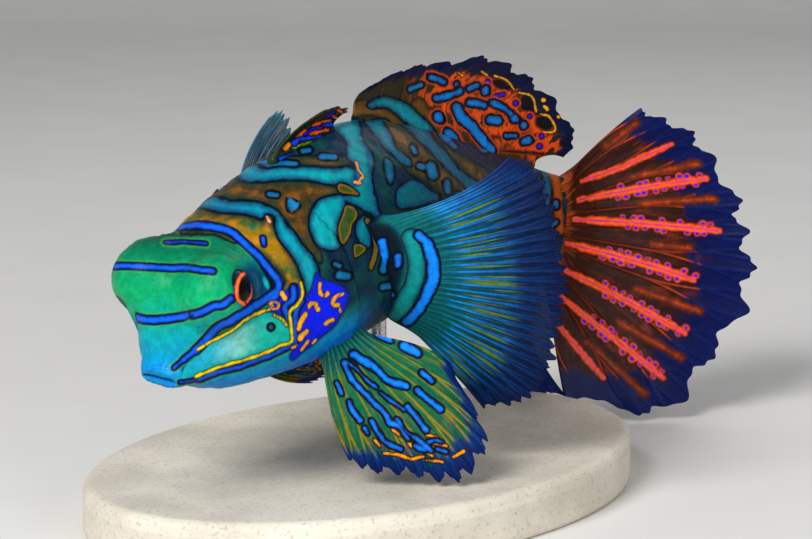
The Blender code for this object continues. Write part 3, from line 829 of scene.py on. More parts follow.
# Marks of the eye.
EYE_MARKS: tuple[Mark, ...] = (
    *patches(
        Ink.PUPIL,
        ((240.5, 298), (239.5, 288), (242, 280), (246, 277), (249.5, 282), (250, 290), (247.5, 297),
         (243.5, 301)),
    ),
    *strokes(
        Ink.IRIS,
        (3.2, (239.5, 303), (237, 297), (237, 287), (239.5, 278), (245, 272.5)),
        (2, (245, 272.5), (250, 275), (252.5, 284), (252, 294), (247, 302)),
        (4, (240, 302), (243.5, 304.5)),
    ),
    *strokes(
        Ink.AZURE,
        (1.4, (252, 272), (256, 281), (255.5, 293), (250, 304)),
    ),
)

# Marks of the pectoral fins.
PECTORAL_MARKS: tuple[Mark, ...] = (
    *patches(
        Ink.DARK,
        ((366, 222), (386, 222), (398, 232), (404, 248), (404, 270), (398, 290), (388, 312), (376, 314)),
    ),
    *strokes(
        Ink.AZURE,
        (7, (386, 237), (388, 250), (384, 268)), (4, (400, 252), (401, 261)), (6, (383, 289), (397, 287)),
        (11, (428, 244), (433, 260), (434, 276), (430, 288)), (7, (419, 234), (428, 243)),
        (9, (430, 289), (421, 305), (411, 317)),
    ),
    *strokes(
        Ink.TEAL,
        (15, (411, 236), (417, 253), (417, 274), (410, 292), (402, 308)),
    ),
)

# Marks of the first dorsal fin.
FIRST_DORSAL_MARKS: tuple[Mark, ...] = (
    *strokes(
        Ink.ROYAL,
        (4, (276, 158), (288, 154), (303, 149)),
        (2.6, (290, 143), (297, 138.5), (307, 136.5), (318, 136)), (2, (322, 124.5), (333, 123)),
    ),
    *strokes(
        Ink.YELLOW,
        (2.4, (290, 155), (295, 153)), (1.8, (283, 148), (288, 143)),
    ),
    *strokes(
        Ink.OLIVE,
        (3.6, (290, 146), (300, 143), (313, 141)),
    ),
    *strokes(
        Ink.FLAME,
        (3, (296, 137), (300, 133.5), (304, 130.5)), (3.4, (308, 133), (315, 130), (323, 129)),
        (3.4, (313, 125.5), (320, 122.5), (329, 121)), (2.4, (331, 115), (336, 118)),
        (2.6, (338, 110), (343, 114)),
    ),
    *strokes(
        Ink.VIOLET,
        (2, (303, 134), (311, 129), (320, 126.5)), (2, (326, 117), (333, 112)),
    ),
)

# Marks of the anal fin.
ANAL_MARKS: tuple[Mark, ...] = (
    *strokes(
        Ink.EARTH,
        (10, (512, 370), (524, 364)), (9, (541, 333), (543, 350)),
        (6, (486, 352), (496, 372), (503, 388)),
    ),
    *strokes(
        Ink.AZURE,
        (5, (528, 352), (534, 362)), (5, (500, 346), (507, 360)), (4, (512, 384), (516, 394)),
    ),
)


def make_piece(
    name: str, points: Array, faces: Array, bake_map: Array, values: dict[str, Array]
) -> bpy.types.Object:
    """Make a smooth mesh piece.

    Args:
        name: Name of the piece.
        points: Points in millimetres, in rows.
        faces: Corners of the faces, in rows.
        bake_map: Place of each corner on the map, in rows of two.
        values: Named values, one for each point.

    Returns:
        The piece.
    """
    mesh = bpy.data.meshes.new(name)
    mesh.from_pydata((points * MM).tolist(), [], faces.tolist())
    mesh.shade_smooth()
    layer = mesh.uv_layers.new(name="OFBake")
    layer.data.foreach_set("uv", bake_map.astype(np.float32).ravel())
    for key, numbers in values.items():
        vector = numbers.ndim == 2
        slot = mesh.attributes.new(key, "FLOAT_VECTOR" if vector else "FLOAT", "POINT")
        slot.data.foreach_set("vector" if vector else "value", numbers.astype(np.float32).ravel())
    piece = bpy.data.objects.new(name, mesh)
    bpy.context.scene.collection.objects.link(piece)
    LOG.info("%s: %d faces", name, len(faces))
    return piece


def dress(piece: bpy.types.Object, material: bpy.types.Material, slot: str, *nodes: str) -> None:
    """Give a piece its material and set it in place of its nodes.

    Args:
        piece: Piece to dress.
        material: Material of the piece.
        slot: Material slot of the record; not used.
        *nodes: Names of the nodes that the piece stands for.
    """
    piece.data.materials.append(material)
    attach(piece, "root")
    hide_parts(*nodes)


def grid(
    shape: tuple[int, int], closed: bool, start: int = 0, sides: Point = (0.0, 1.0), flip: bool = False
) -> tuple[Array, Array]:
    """Faces of a grid of points, and their places on the map.

    Args:
        shape: Count of rows, and of points in a row.
        closed: Whether each row returns to its start.
        start: Index of the grid's first point.
        sides: Left and right side of the grid on the map.
        flip: Whether the faces look the other way.

    Returns:
        Four corners for each face, and a map place for each corner.
    """
    rows, columns = shape
    across = columns if closed else columns - 1
    i, j = np.meshgrid(np.arange(rows - 1), np.arange(across), indexing="ij")
    row = np.stack([i, i + 1, i + 1, i], -1).reshape(-1, 4)
    column = np.stack([j, j, j + 1, j + 1], -1).reshape(-1, 4)
    faces = start + row * columns + column % columns
    place = np.stack([
        column / across * (sides[1] - sides[0]) + sides[0], row / (rows - 1)
    ], -1)
    if flip:
        faces, place = faces[:, ::-1], place[:, ::-1]
    return faces, place.reshape(-1, 2)


def grid_normals(points: Array, closed: bool) -> Array:
    """Unit normals of a grid of points, by its neighbours."""
    if closed:
        ring = np.concatenate([points[:, -1:], points, points[:, :1]], axis=1)
        across = np.gradient(ring, axis=1)[:, 1:-1]
    else:
        across = np.gradient(points, axis=1)
    return unit(np.cross(np.gradient(points, axis=0), across))


def mark_values(places: Array, marks: tuple[Mark, ...]) -> dict[str, Array]:
    """Values of all the inks at pixels of the reference view, with the pixels."""
    found = {ink.value: layer for ink, layer in lay_marks(places, marks).items()}
    found["picture"] = np.hstack([places / 100, np.zeros((len(places), 1))])
    return found


@dataclass(frozen=True)
class Skin:
    """One skin over head, trunk and tail, with lips, lids, nostrils and gill pores.

    A pair of stations is where a change starts and where it ends. Angles are degrees up
    from the side of the fish.
    """

    finish: "SkinFinish"
    marks: tuple[Mark, ...]
    lip_rows: int = 16
    face_rows: int = 90
    head_rows: int = 60
    trunk_rows: int = 140
    tail_rows: int = 60
    cap_rows: int = 6
    face_end: float = 5.0
    head_end: float = 14.0
    tail_start: float = 36.0
    cap_length: float = 1.3
    cap_narrowing: float = 0.97
    cap_lowering: float = 0.05
    # folds behind the lips: height, station, reach
    lip_folds: tuple[Row, ...] = ((0.06, 0.4, 0.3), (-0.1, 1.1, 0.22))
    evenness: float = 0.85
    evened: Point = (12.0, 8.0)
    # ripples over all: height, size, seed
    ripples: tuple[tuple[float, float, int], ...] = ((0.03, 1.7, 3), (0.015, 0.6, 5))
    cover_station: float = 13.6
    cover_bulge: float = 1.0
    cover_height: float = 0.16
    cover_reach: float = 0.45
    cover_angle: float = 62.0
    pore_depth: float = 0.07
    pore_spacing: float = 1.5
    pore_angle: float = 33.0
    pore_width: float = 2.2
    pores_start: Point = (14.5, 16.5)
    pores_end: Point = (52.0, 50.0)
    nostril_rim: Point = (0.13, 0.17)
    nostril_hole: Point = (0.3, 0.24)
    gill_pore_depth: float = 0.4
    gill_pore_rim: Row = (0.05, 0.8, 0.25)
    facing_seen: Point = (-0.15, 0.02)
    seen_stations: Point = (11.0, 7.0)

    def rows(self) -> tuple[Array, Array]:
        """Lay out the skin from the inside of the lips to the end of the tail.

        Returns:
            Rows of station, out and up, and the station of each row.
        """
        turn = np.linspace(0, 2 * math.pi, BODY.columns, endpoint=False)
        share = np.linspace(0, 1, self.lip_rows)[:, None]
        keys = np.array(BODY.lips)
        at = np.linspace(0, 1, len(keys))
        lip = [np.interp(share[:, 0], at, keys[:, k])[:, None] for k in range(3)]
        edge = BODY.outline(np.zeros(1), turn)
        mouth = np.stack([lip[0] + 0 * turn, edge[:, 1] * lip[1], edge[:, 2] * lip[2]], -1)
        station = np.concatenate([
            np.linspace(0.0, self.face_end, self.face_rows, endpoint=False),
            np.linspace(self.face_end, self.head_end, self.head_rows, endpoint=False),
            np.linspace(self.head_end, self.tail_start, self.trunk_rows, endpoint=False),
            np.linspace(self.tail_start, BODY.length, self.tail_rows),
        ])[:, None]
        folds = sum(
            height * np.exp(-(((station - middle) / reach) ** 2))
            for height, middle, reach in self.lip_folds
        )
        main = BODY.skin(station, turn, folds)
        main = self.spread(main, self.evenness * smooth_step(*self.evened, station[:, 0]))
        past = np.linspace(0.0, 1.0, self.cap_rows + 1)[1:, None]
        last = np.repeat(main[-1:], self.cap_rows, axis=0)
        last[..., 0] += self.cap_length * past
        last[..., 1] *= 1 - self.cap_narrowing * past**1.5
        last[..., 2] *= 1 - self.cap_lowering * past
        local = np.vstack([mouth, main, last])
        stations = np.concatenate([lip[0][:, 0], station[:, 0], last[:, 0, 0]])
        return local, stations

    def spread(self, rows: Array, shares: Array) -> Array:
        """Shift points along their closed rows toward even spacing.

        Args:
            rows: Points of the rows.
            shares: How far each row goes, from 0 as it is to 1 for even spacing.

        Returns:
            The rows with their points shifted.
        """
        closed = np.concatenate([rows, rows[:, :1]], axis=1)
        steps = np.linalg.norm(np.diff(closed, axis=1), axis=-1)
        walk = np.hstack([np.zeros((len(rows), 1)), np.cumsum(steps, axis=1)])
        even = np.linspace(0, 1, closed.shape[1])
        at = shares[:, None] * walk / walk[:, -1:] + (1 - shares[:, None]) * even
        return np.stack([
            np.stack([np.interp(even[:-1], at[k], closed[k, :, axis]) for axis in range(3)], -1)
            for k in range(len(rows))
        ])

    def distances(self, points: Array, spot: Row) -> list[Array]:
        """Distances of points from a spot of the left side and from its twin on the right."""
        station, angle = spot
        centres = [BODY.point(station, math.radians(turn)) for turn in (angle, 180 - angle)]
        return [np.linalg.norm(points - centre, axis=-1) for centre in centres]

    def relief(self, points: Array, stations: Array) -> Array:
        """Height of the small forms on the skin, in millimetres.

        Args:
            points: World points of the skin, in rows.
            stations: Station of each row.

        Returns:
            Height at each point, less than 0 in a hollow.
        """
        turn = np.degrees(np.linspace(0, 2 * math.pi, BODY.columns, endpoint=False))
        side = np.where(turn > 180, turn - 360, turn)
        flank = np.minimum(np.abs(side), 180 - np.abs(side)) * np.sign(side)
        station = stations[:, None]
        height = sum(high * ripple(points, size, seed) for high, size, seed in self.ripples)
        cover = self.cover_station + self.cover_bulge * np.cos(np.radians(flank * 1.6))
        behind = (station - cover) / self.cover_reach
        step = np.where(behind < 0, self.cover_height, -self.cover_height)
        height += step * np.exp(-np.abs(behind)) * (np.abs(flank) < self.cover_angle)
        pores = np.cos(2 * math.pi * station / self.pore_spacing) ** 8
        pores = pores * np.exp(-(((flank - self.pore_angle) / self.pore_width) ** 2))
        pores = self.pore_depth * pores * smooth_step(*self.pores_start, station)
        height -= pores * smooth_step(*self.pores_end, station)
        for far in self.distances(points, BODY.nostril):
            high, reach = self.nostril_rim
            height += high * np.exp(-(((far - BODY.nostril_radius) / reach) ** 2))
            deep, reach = self.nostril_hole
            height -= deep * np.exp(-((far / reach) ** 2))
        for far in self.distances(points, BODY.gill_pore):
            height -= self.gill_pore_depth * np.exp(-((far / BODY.gill_pore_radius) ** 4))
            high, radius, reach = self.gill_pore_rim
            height += high * np.exp(-(((far - radius) / reach) ** 2))
        return height

    def places(self, local: Array, stations: Array, normals: Array) -> tuple[Array, Array, Array]:
        """Where the marks fall on the skin.

        Args:
            local: Rows of station, distance out and distance up.
            stations: Station of each row.
            normals: Normal of each point in the world.

        Returns:
            Pixels of the points as the left side has them, their own pixels, and the share
            of the second in each point.
        """
        mirrored = local.copy()
        mirrored[..., 1] = np.abs(mirrored[..., 1])
        as_left = VIEW.pixels(SPINE.place(mirrored))
        as_seen = VIEW.pixels(SPINE.place(local))
        share = smooth_step(*self.facing_seen, normals @ VIEW.axes()[2])
        share = share * smooth_step(*self.seen_stations, stations)[:, None]
        share = np.where(local[..., 1] >= 0, 1.0, share)
        return as_left.reshape(-1, 2), as_seen.reshape(-1, 2), share.ravel()

    def build(self) -> bpy.types.Object:
        """Make the skin and put it in place of the flesh."""
        local, stations = self.rows()
        points = SPINE.place(local)
        normals = grid_normals(points, closed=True)
        as_left, as_seen, share = self.places(local, stations, normals)
        left = mark_values(as_left, self.marks)
        seen = mark_values(as_seen, self.marks)
        values = {}
        for key in left:
            part = share[:, None] if left[key].ndim == 2 else share
            values[key] = seen[key] * part + left[key] * (1 - part)
        values["station"] = np.repeat(stations, BODY.columns)
        values["height"] = local[..., 2].ravel()
        points = EYE.open_lids(points)
        points += normals * self.relief(points, stations)[..., None]
        piece = make_piece("skin", points.reshape(-1, 3), *grid(points.shape[:2], True), values)
        dress(piece, self.finish.material(), "trunk", "head", "trunk", "tail")
        return piece


@dataclass(frozen=True)
class Eyeball:
    """An eyeball with the low dome of the cornea on its outer side."""

    finish: "EyeFinish"
    marks: tuple[Mark, ...]
    rings: int = 84
    columns: int = 120
    far_angle: float = 105.0

    def shape(self, side: float) -> Array:
        """Rings of points from the middle of the cornea to the back.

        Args:
            side: 1 for the left eye and -1 for the right one.

        Returns:
            World points, a ring in each row.
        """
        middle, ahead = EYE.world_frame(side)
        across = unit(np.cross(ahead, (0.0, 0.0, 1.0))) * side
        over = np.cross(ahead, across) * side
        lean = np.radians(np.linspace(0.4, self.far_angle, self.rings))[:, None, None]
        turn = np.linspace(0, 2 * math.pi, self.columns, endpoint=False)[None, :, None]
        out = across * np.cos(turn) + over * np.sin(turn)
        wide = EYE.radius * np.sin(lean)
        dome = EYE.cornea_rise * np.clip(1 - (wide / EYE.cornea_radius) ** 2, 0, 1)
        front = EYE.radius * np.cos(lean) + np.where(lean < math.pi / 2, dome, 0.0)
        return middle + out * wide + ahead * front

    def build(self, name: str, side: float) -> bpy.types.Object:
        """Make the eyeball of one side."""
        values = mark_values(VIEW.pixels(self.shape(1.0)).reshape(-1, 2), self.marks)
        faces, bake_map = grid((self.rings, self.columns), True, flip=side < 0)
        piece = make_piece(name, self.shape(side).reshape(-1, 3), faces, bake_map, values)
        dress(piece, self.finish.material(), name, name)
        return piece


@dataclass(frozen=True)
class Fin:
    """A fan of forked rays joined by a thin membrane.

    Keys run by u, from 0 at the first ray to 1 at the last: the root gives station and
    angle on the skin, the rays give back, out and up from root to tip, and the bow gives
    the ray's middle off the straight line.
    """

    name: str
    root: tuple[Row, ...]
    rays: tuple[Row, ...]
    bow: tuple[Row, ...]
    ray_count: int
    root_half: float
    notch: float
    wave: Point = (0.0, 1.0)
    rows: int = 120
    per_ray: int = 10
    fork: float = 0.45
    fork_spread: float = 0.24
    ridge: float = 0.12
    ridge_width: float = 0.13
    membrane_half: float = 0.09
    seed: int = 1
    on_tail: bool = False
    sunk: float = 0.07
    sink_depth: float = 0.7
    pleat: float = 0.08
    ridge_start: Point = (-1.0, 0.0)
    ridge_taper: float = 0.75
    membrane_taper: float = 0.6
    swell_reach: float = 0.24
    swell_power: float = 1.6
    rim_columns: float = 2.4
    rim_share: float = 0.35
    tip_lengths: Point = (-0.035, 0.012)

    def base(self, u: Array) -> tuple[Array, Array, list[Array]]:
        """Where the fin grows out of the skin.

        Args:
            u: Places across the fin, from the first ray to the last.

        Returns:
            Root points, the skin's outward directions, and the spine's back, left and up.
        """
        if self.on_tail:
            point, back, left, up = SPINE.frames(np.full(len(u), BODY.length))
            height = smooth_table(self.root, u)
            return point + back * GAP + up * height, back, [back, left, up]
        keys = smooth_table(self.root, u)
        station, turn = keys[:, 0], np.radians(keys[:, 1])
        _, back, left, up = SPINE.frames(station)
        fore = BODY.point(station + 0.1, turn) - BODY.point(station - 0.1, turn)
        over = BODY.point(station, turn + 0.05) - BODY.point(station, turn - 0.05)
        return BODY.point(station, turn, GAP), unit(np.cross(fore, over)), [back, left, up]

    def surface(self, u: Array, v: Array) -> Array:
        """Lay out the middle of the membrane.

        Args:
            u: Places across the fin, from the first ray to the last.
            v: Shares of the rays' length, below 0 under the skin.

        Returns:
            World points, a row for each u.
        """
        point, outward, (back, left, up) = self.base(u)
        ray = u * (self.ray_count - 1)
        draw = np.random.default_rng(self.seed)
        tips = 1 + draw.uniform(*self.tip_lengths, self.ray_count)
        reach_of_tip = np.interp(ray, np.arange(self.ray_count), tips)[:, None]
        between = np.sin(math.pi * ray)[:, None] ** 2
        fray = 0.5 + 0.5 * np.sin(ray * 19.0 + self.seed + 2 * np.sin(ray * 3.1))[:, None]
        above = np.maximum(v, 0.0)
        reach = v * reach_of_tip * (1 - self.notch * (between + 0.3 * fray) * above**3)
        bend = 4 * reach * (1 - reach)
        shift = smooth_table(self.rays, u)[:, None] * reach[..., None]
        shift = shift + smooth_table(self.bow, u)[:, None] * bend[..., None]
        size, waves = self.wave
        shift[..., 1] += size * np.sin(2 * math.pi * waves * u)[:, None] * reach**2
        pleats = self.pleat * np.sin(2 * math.pi * ray)[:, None]
        shift[..., 1] += pleats * np.maximum(reach, 0.0) ** 1.5
        sink = self.sink_depth * smooth_step(0.04, -self.sunk, v)[..., None]
        middle = point[:, None] - outward[:, None] * sink
        for way, k in ((back, 0), (left, 1), (up, 2)):
            middle = middle + way[:, None] * shift[..., k:k + 1]
        return middle

    def ridges(self, middle: Array, u: Array, v: Array) -> Array:
        """Find the rays, which fork twice toward their tips.

        Args:
            middle: Points of the membrane's middle.
            u: Places across the fin.
            v: Shares of the rays' length.

        Returns:
            A value for each point, from 0 between rays to 1 on one.
        """
        ray = (u * (self.ray_count - 1))[:, None]
        spacing = np.linalg.norm(np.gradient(middle, axis=0), axis=-1)
        spacing = spacing / np.gradient(u)[:, None] / (self.ray_count - 1)
        part = ray - np.round(ray)
        fork = self.fork_spread * smooth_step(self.fork, 0.95, v)[None]
        twig = 0.42 * self.fork_spread * smooth_step(min(self.fork + 0.3, 0.9), 1.0, v)[None]
        best = np.zeros(middle.shape[:2])
        for first in (-1, 1):
            for second in (-1, 1):
                off = (part - first * fork - second * twig) * spacing
                best = np.maximum(best, np.exp(-((off / self.ridge_width) ** 2)))
        return best

    def half_thickness(self, ridge: Array, u: Array, v: Array) -> Array:
        """Distance from the sheet's middle to its faces, thick at the root and thin at the rim.

        Args:
            ridge: Share of a ray's ridge at each point.
            u: Places across the fin.
            v: Shares of the rays' length.

        Returns:
            A distance for each point, in millimetres.
        """
        outward = np.clip(v, 0, 1)
        height = self.membrane_half * (1 - self.membrane_taper * outward)[None]
        fade = smooth_step(*self.ridge_start, v) * (1 - self.ridge_taper * outward)
        height = height + ridge * self.ridge * fade[None]
        swell = np.clip(1 - np.maximum(v, 0) / self.swell_reach, 0, 1) ** self.swell_power
        height = height + (self.root_half - self.membrane_half) * swell[None]
        rim = smooth_step(0.0, self.rim_columns / len(u), np.minimum(u, 1 - u))[:, None]
        return height * (self.rim_share + (1 - self.rim_share) * rim)

    def sheet(self, shape: tuple[int, int]) -> tuple[Array, Array]:
        """Faces and map places of a closed sheet: its front, its back and the edge between.

        Args:
            shape: Count of rows, and of points in a row, on each side.

        Returns:
            Four corners for each face, and a map place for each corner.
        """
        total = shape[0] * shape[1]
        front_faces, front_map = grid(shape, False, 0, (0.0, 0.49))
        back_faces, back_map = grid(shape, False, total, (0.51, 1.0), flip=True)
        index = np.arange(total).reshape(shape)
        border = np.concatenate([
            index[:, 0], index[-1, 1:], index[-2::-1, -1], index[0, -2:0:-1]
        ])
        after = np.roll(border, -1)
        edge_faces = np.stack([after, border, border + total, after + total], -1)
        step = np.arange(len(border))[:, None] + np.array([1, 0, 0, 1])
        side = np.broadcast_to([0.497, 0.497, 0.503, 0.503], step.shape)
        edge_map = np.stack([side, step / len(border)], -1).reshape(-1, 2)
        faces = np.concatenate([front_faces, back_faces, edge_faces])
        return faces, np.concatenate([front_map, back_map, edge_map])

    def build(
        self, finish: "FinFinish", marks: tuple[Mark, ...], like: "Fin | None" = None
    ) -> bpy.types.Object:
        """Make the fin as a thin closed sheet.

        Args:
            finish: Finish of the fin.
            marks: Marks laid on it.
            like: Fin of the left side, whose marks a fin of the right side repeats.

        Returns:
            The piece.
        """
        u = np.linspace(0, 1, (self.ray_count - 1) * self.per_ray + 1)
        v = np.linspace(0, 1, self.rows) * (1 + self.sunk) - self.sunk
        middle = self.surface(u, v)
        ridge = self.ridges(middle, u, v)
        away = grid_normals(middle, closed=False) * self.half_thickness(ridge, u, v)[..., None]
        points = np.concatenate([(middle + away).reshape(-1, 3), (middle - away).reshape(-1, 3)])
        pattern = middle if like is None else like.surface(u, v)
        values = mark_values(VIEW.pixels(pattern).reshape(-1, 2), marks)
        along = np.linalg.norm(np.gradient(middle, axis=1), axis=-1).cumsum(1)
        values["ray"] = ridge.ravel()
        values["reach"] = np.broadcast_to(v, along.shape).ravel()
        rays = np.broadcast_to((u * (self.ray_count - 1))[:, None], along.shape)
        values["fan"] = np.stack([rays, along, 0 * along], -1).reshape(-1, 3)
        values = {key: np.concatenate([numbers, numbers]) for key, numbers in values.items()}
        piece = make_piece(self.name, points, *self.sheet(along.shape), values)
        dress(piece, finish.material(), self.name, self.name)
        return piece


def linear(code: str) -> tuple[float, float, float, float]:
    """A colour for the shader.

    Args:
        code: Screen colour as six hexadecimal digits.

    Returns:
        Red, green, blue and a full alpha.
    """
    parts = [int(code[k:k + 2], 16) / 255 for k in (0, 2, 4)]
    red, green, blue = [
        part / 12.92 if part <= 0.04045 else ((part + 0.055) / 1.055) ** 2.4 for part in parts
    ]
    return red, green, blue, 1.0


Socket = bpy.types.NodeSocket
Source = Socket | float | tuple[float, ...]


class Sketch:
    """Writes nodes into a node tree."""

    def __init__(self, tree: bpy.types.NodeTree) -> None:
        """Take the tree to write into."""
        self.tree = tree

    def node(
        self, kind: str, sources: dict[str | int, Source] | None = None, **settings: object
    ) -> bpy.types.Node:
        """Add a node.

        Args:
            kind: Type name of the node.
            sources: Value or socket for each input, by name or number.
            **settings: Settings of the node.

        Returns:
            The node.
        """
        made = self.tree.nodes.new(kind)
        for key, setting in settings.items():
            setattr(made, key, setting)
        self.feed(made, sources or {})
        return made

    def feed(self, node: bpy.types.Node, sources: dict[str | int, Source]) -> None:
        """Give inputs of a node their value or socket, by name or number."""
        for key, source in sources.items():
            if isinstance(source, Socket):
                self.tree.links.new(source, node.inputs[key])
            else:
                node.inputs[key].default_value = source

    def mix(self, share: Source, under: Source, over: Source, blend: str = "MIX") -> Socket:
        """Colour between two others."""
        inputs = {0: share, 6: under, 7: over}
        made = self.node("ShaderNodeMix", inputs, data_type="RGBA", blend_type=blend)
        return made.outputs[2]

    def math(self, operation: str, first: Source, second: Source, third: Source = 0.0) -> Socket:
        """Outcome of a sum on two or three values."""
        inputs = {0: first, 1: second, 2: third}
        return self.node("ShaderNodeMath", inputs, operation=operation).outputs[0]

    def add(self, first: Source, second: Source) -> Socket:
        """Sum of two values."""
        return self.math("ADD", first, second)

    def times(self, first: Source, second: Source) -> Socket:
        """Product of two values."""
        return self.math("MULTIPLY", first, second)

    def scale(self, value: Source, factor: Source, shift: Source) -> Socket:
        """A value times a factor, plus a shift."""
        return self.math("MULTIPLY_ADD", value, factor, shift)

    def step(
        self, value: Source, low: Source, high: Source, start: float = 0.0, end: float = 1.0
    ) -> Socket:
        """Ease from start at low to end at high."""
        inputs = {"Value": value, "From Min": low, "From Max": high, "To Min": start, "To Max": end}
        made = self.node("ShaderNodeMapRange", inputs, interpolation_type="SMOOTHSTEP")
        return made.outputs[0]

    def value(self, name: str) -> Socket:
        """Value stored on the surface."""
        return self.node("ShaderNodeAttribute", attribute_name=name).outputs["Fac"]

    def vector(self, name: str) -> Socket:
        """Vector stored on the surface."""
        return self.node("ShaderNodeAttribute", attribute_name=name).outputs["Vector"]

    def part(self, vector: Socket, axis: str) -> Socket:
        """One axis of a vector."""
        return self.node("ShaderNodeSeparateXYZ", {0: vector}).outputs[axis]

    def millimetres(self) -> Socket:
        """Place on the piece in millimetres."""
        inputs = {0: self.node("ShaderNodeTexCoord").outputs["Object"], "Scale": 1 / MM}
        return self.node("ShaderNodeVectorMath", inputs, operation="SCALE").outputs[0]

    def noise(self, place: Socket, size: float, detail: float = 3.0) -> Socket:
        """Cloudy value from 0 to 1, with forms of about a size in the units of the place."""
        inputs = {"Vector": place, "Scale": 1 / size, "Detail": detail}
        return self.node("ShaderNodeTexNoise", inputs).outputs["Fac"]

    def streaks(self, place: Socket, squeeze: Row, size: float, detail: float) -> Socket:
        """Cloudy value with forms drawn out along the axes that are squeezed least."""
        inputs = {0: place, 1: squeeze}
        made = self.node("ShaderNodeVectorMath", inputs, operation="MULTIPLY")
        return self.noise(made.outputs[0], size, detail)

    def cells(self, place: Socket, scale: float, feature: str = "F1") -> Socket:
        """Distance to the middles, or to the borders, of scattered cells."""
        inputs = {"Vector": place, "Scale": scale}
        return self.node("ShaderNodeTexVoronoi", inputs, feature=feature).outputs["Distance"]

    def ramp(self, value: Socket, stops: Stops) -> Socket:
        """Colour by a value.

        Args:
            value: Value from 0 to 1.
            stops: Places and screen colours, from the lowest.

        Returns:
            The colour.
        """
        made = self.node("ShaderNodeValToRGB", {0: value})
        elements = made.color_ramp.elements
        while len(elements) < len(stops):
            elements.new(0.5)
        for element, (place, code) in zip(elements, stops):
            element.position = place
            element.color = linear(code)
        return made.outputs[0]

    def bump(self, surface: bpy.types.Node, height: Socket, depth: float, strength: float) -> None:
        """Raise the surface by a height, with its depth in millimetres."""
        inputs = {"Height": height, "Distance": depth * MM, "Strength": strength}
        self.feed(surface, {"Normal": self.node("ShaderNodeBump", inputs).outputs[0]})


def make_group(
    name: str, inputs: dict[str, str], outputs: dict[str, str]
) -> tuple[bpy.types.NodeTree, Sketch, bpy.types.Node, bpy.types.Node]:
    """Make a node group with its sockets.

    Args:
        name: Name of the group.
        inputs: Socket kind of each input, Float, Color or Vector.
        outputs: Socket kind of each output.

    Returns:
        The group's tree, a sketch of it, its input node and its output node.
    """
    tree = bpy.data.node_groups.new(name, "ShaderNodeTree")
    for way, sockets in (("INPUT", inputs), ("OUTPUT", outputs)):
        for key, kind in sockets.items():
            tree.interface.new_socket(name=key, in_out=way, socket_type=f"NodeSocket{kind}")
    sketch = Sketch(tree)
    return tree, sketch, sketch.node("NodeGroupInput"), sketch.node("NodeGroupOutput")


def ink_group() -> bpy.types.NodeTree:
    """Group that lays one ink with a dark rim over a colour."""
    tree, sketch, given, result = make_group(
        "lay_ink",
        {"Under": "Color", "Distance": "Float", "Ink": "Color", "Deep": "Color",
         "Edge": "Color", "Edge Width": "Float", "Softness": "Float", "Depth": "Float"},
        {"Color": "Color"},
    )
    under, distance, ink, deep, edge, edge_width, softness, depth = list(given.outputs)[:8]
    blur = sketch.times(softness, -1.0)
    rim = sketch.step(distance, sketch.add(edge_width, softness), sketch.add(edge_width, blur))
    body = sketch.step(distance, softness, blur)
    centre = sketch.step(distance, 0.0, sketch.times(depth, -1.0))
    edged = sketch.mix(rim, under, edge)
    sketch.feed(result, {"Color": sketch.mix(body, edged, sketch.mix(centre, ink, deep))})
    return tree


def grain_group() -> bpy.types.NodeTree:
    """Group for the fine grain of wet skin: a bump height and a change of roughness."""
    tree, sketch, given, result = make_group(
        "skin_grain", {"Place": "Vector"}, {"Height": "Float", "Roughness": "Float"}
    )
    place = given.outputs["Place"]
    cells = sketch.cells(place, 5.5)
    fine = sketch.noise(place, 0.09, 2.0)
    cloud = sketch.noise(place, 1.3, 4.0)
    height = sketch.add(sketch.times(cells, -0.45), sketch.times(fine, 0.35))
    sketch.feed(result, {
        "Height": sketch.add(height, sketch.times(cloud, 0.5)),
        "Roughness": sketch.add(sketch.times(fine, 0.16), sketch.times(cloud, 0.22)),
    })
    return tree


@dataclass(frozen=True)
class Layer:
    """How one ink looks: its rim and middle colours, its dark edge and its softness in pixels."""

    ink: Ink
    colour: str
    deep: str
    edge: str
    edge_width: float
    softness: float = 0.6
    depth: float = 4.0
    lumps: float = 1.5


# Rows of ink, its colours at the rim, in the middle and at the dark edge, width of that
# edge, softness, depth at which the middle colour starts, and lumps.
BODY_LAYERS = (
    Layer(Ink.ROYAL, "1050f0", "1464ff", "30983c", 3.4, 2.6, 2.4, 0.8),
    Layer(Ink.EARTH, "1c3420", "80581a", "020c14", 2.0, 1.3, 7.0, 4.0),
    Layer(Ink.TEAL, "044c70", "0498a4", "010a14", 2.6, 1.0, 6.0, 3.0),
    Layer(Ink.OLIVE, "80600f", "30481a", "020c14", 2.0, 0.9, 2.6, 2.0),
    # Painted shade round the eye: teal at the rim, dark teal toward the eye.
    Layer(Ink.EYE_MOUND_SHADE, "027a74", "02405c", "019074", 0.5, 6.0, 12.0),
    Layer(Ink.FIELD, "0420b0", "041cec", "021050", 1.2, 1.6, 5.0),
    Layer(Ink.JAW, "06a8a0", "58cabc", "0470b0", 0.8, 1.2, 8.0),
    Layer(Ink.FLAME, "7a3c14", "a84c14", "060c14", 1.4, 1.2, 4.0),
    # Pale ink: a painted highlight along the upper lip, and a pale stroke near the root of the tail.
    Layer(Ink.PALE, "0a86d0", "2a9ae8", "0a78c0", 1.0, 1.4, 2.0),
    # Dark ink: painted shade beside the eye on the head, and the fish's own dark marks on the back.
    Layer(Ink.DARK, "021428", "020c1c", "021428", 0.4, 1.6, 2.0),
    Layer(Ink.ROYAL, "0430a0", "0860e0", "010624", 2.1, 0.9, 2.6, 0.8),
    Layer(Ink.YELLOW, "c8a80c", "f8d80c", "0a3818", 1.0, 0.8, 1.2, 1.2),
    Layer(Ink.AMBER, "d88a0a", "f8b010", "04106c", 1.0, 0.7, 1.6, 2.0),
    Layer(Ink.VIOLET, "2a12c0", "4a22e8", "060418", 1.6, 0.7, 2.0),
    Layer(Ink.AZURE, "065888", "0a74a8", "01060c", 2.8, 0.9, 3.4, 1.5),
)
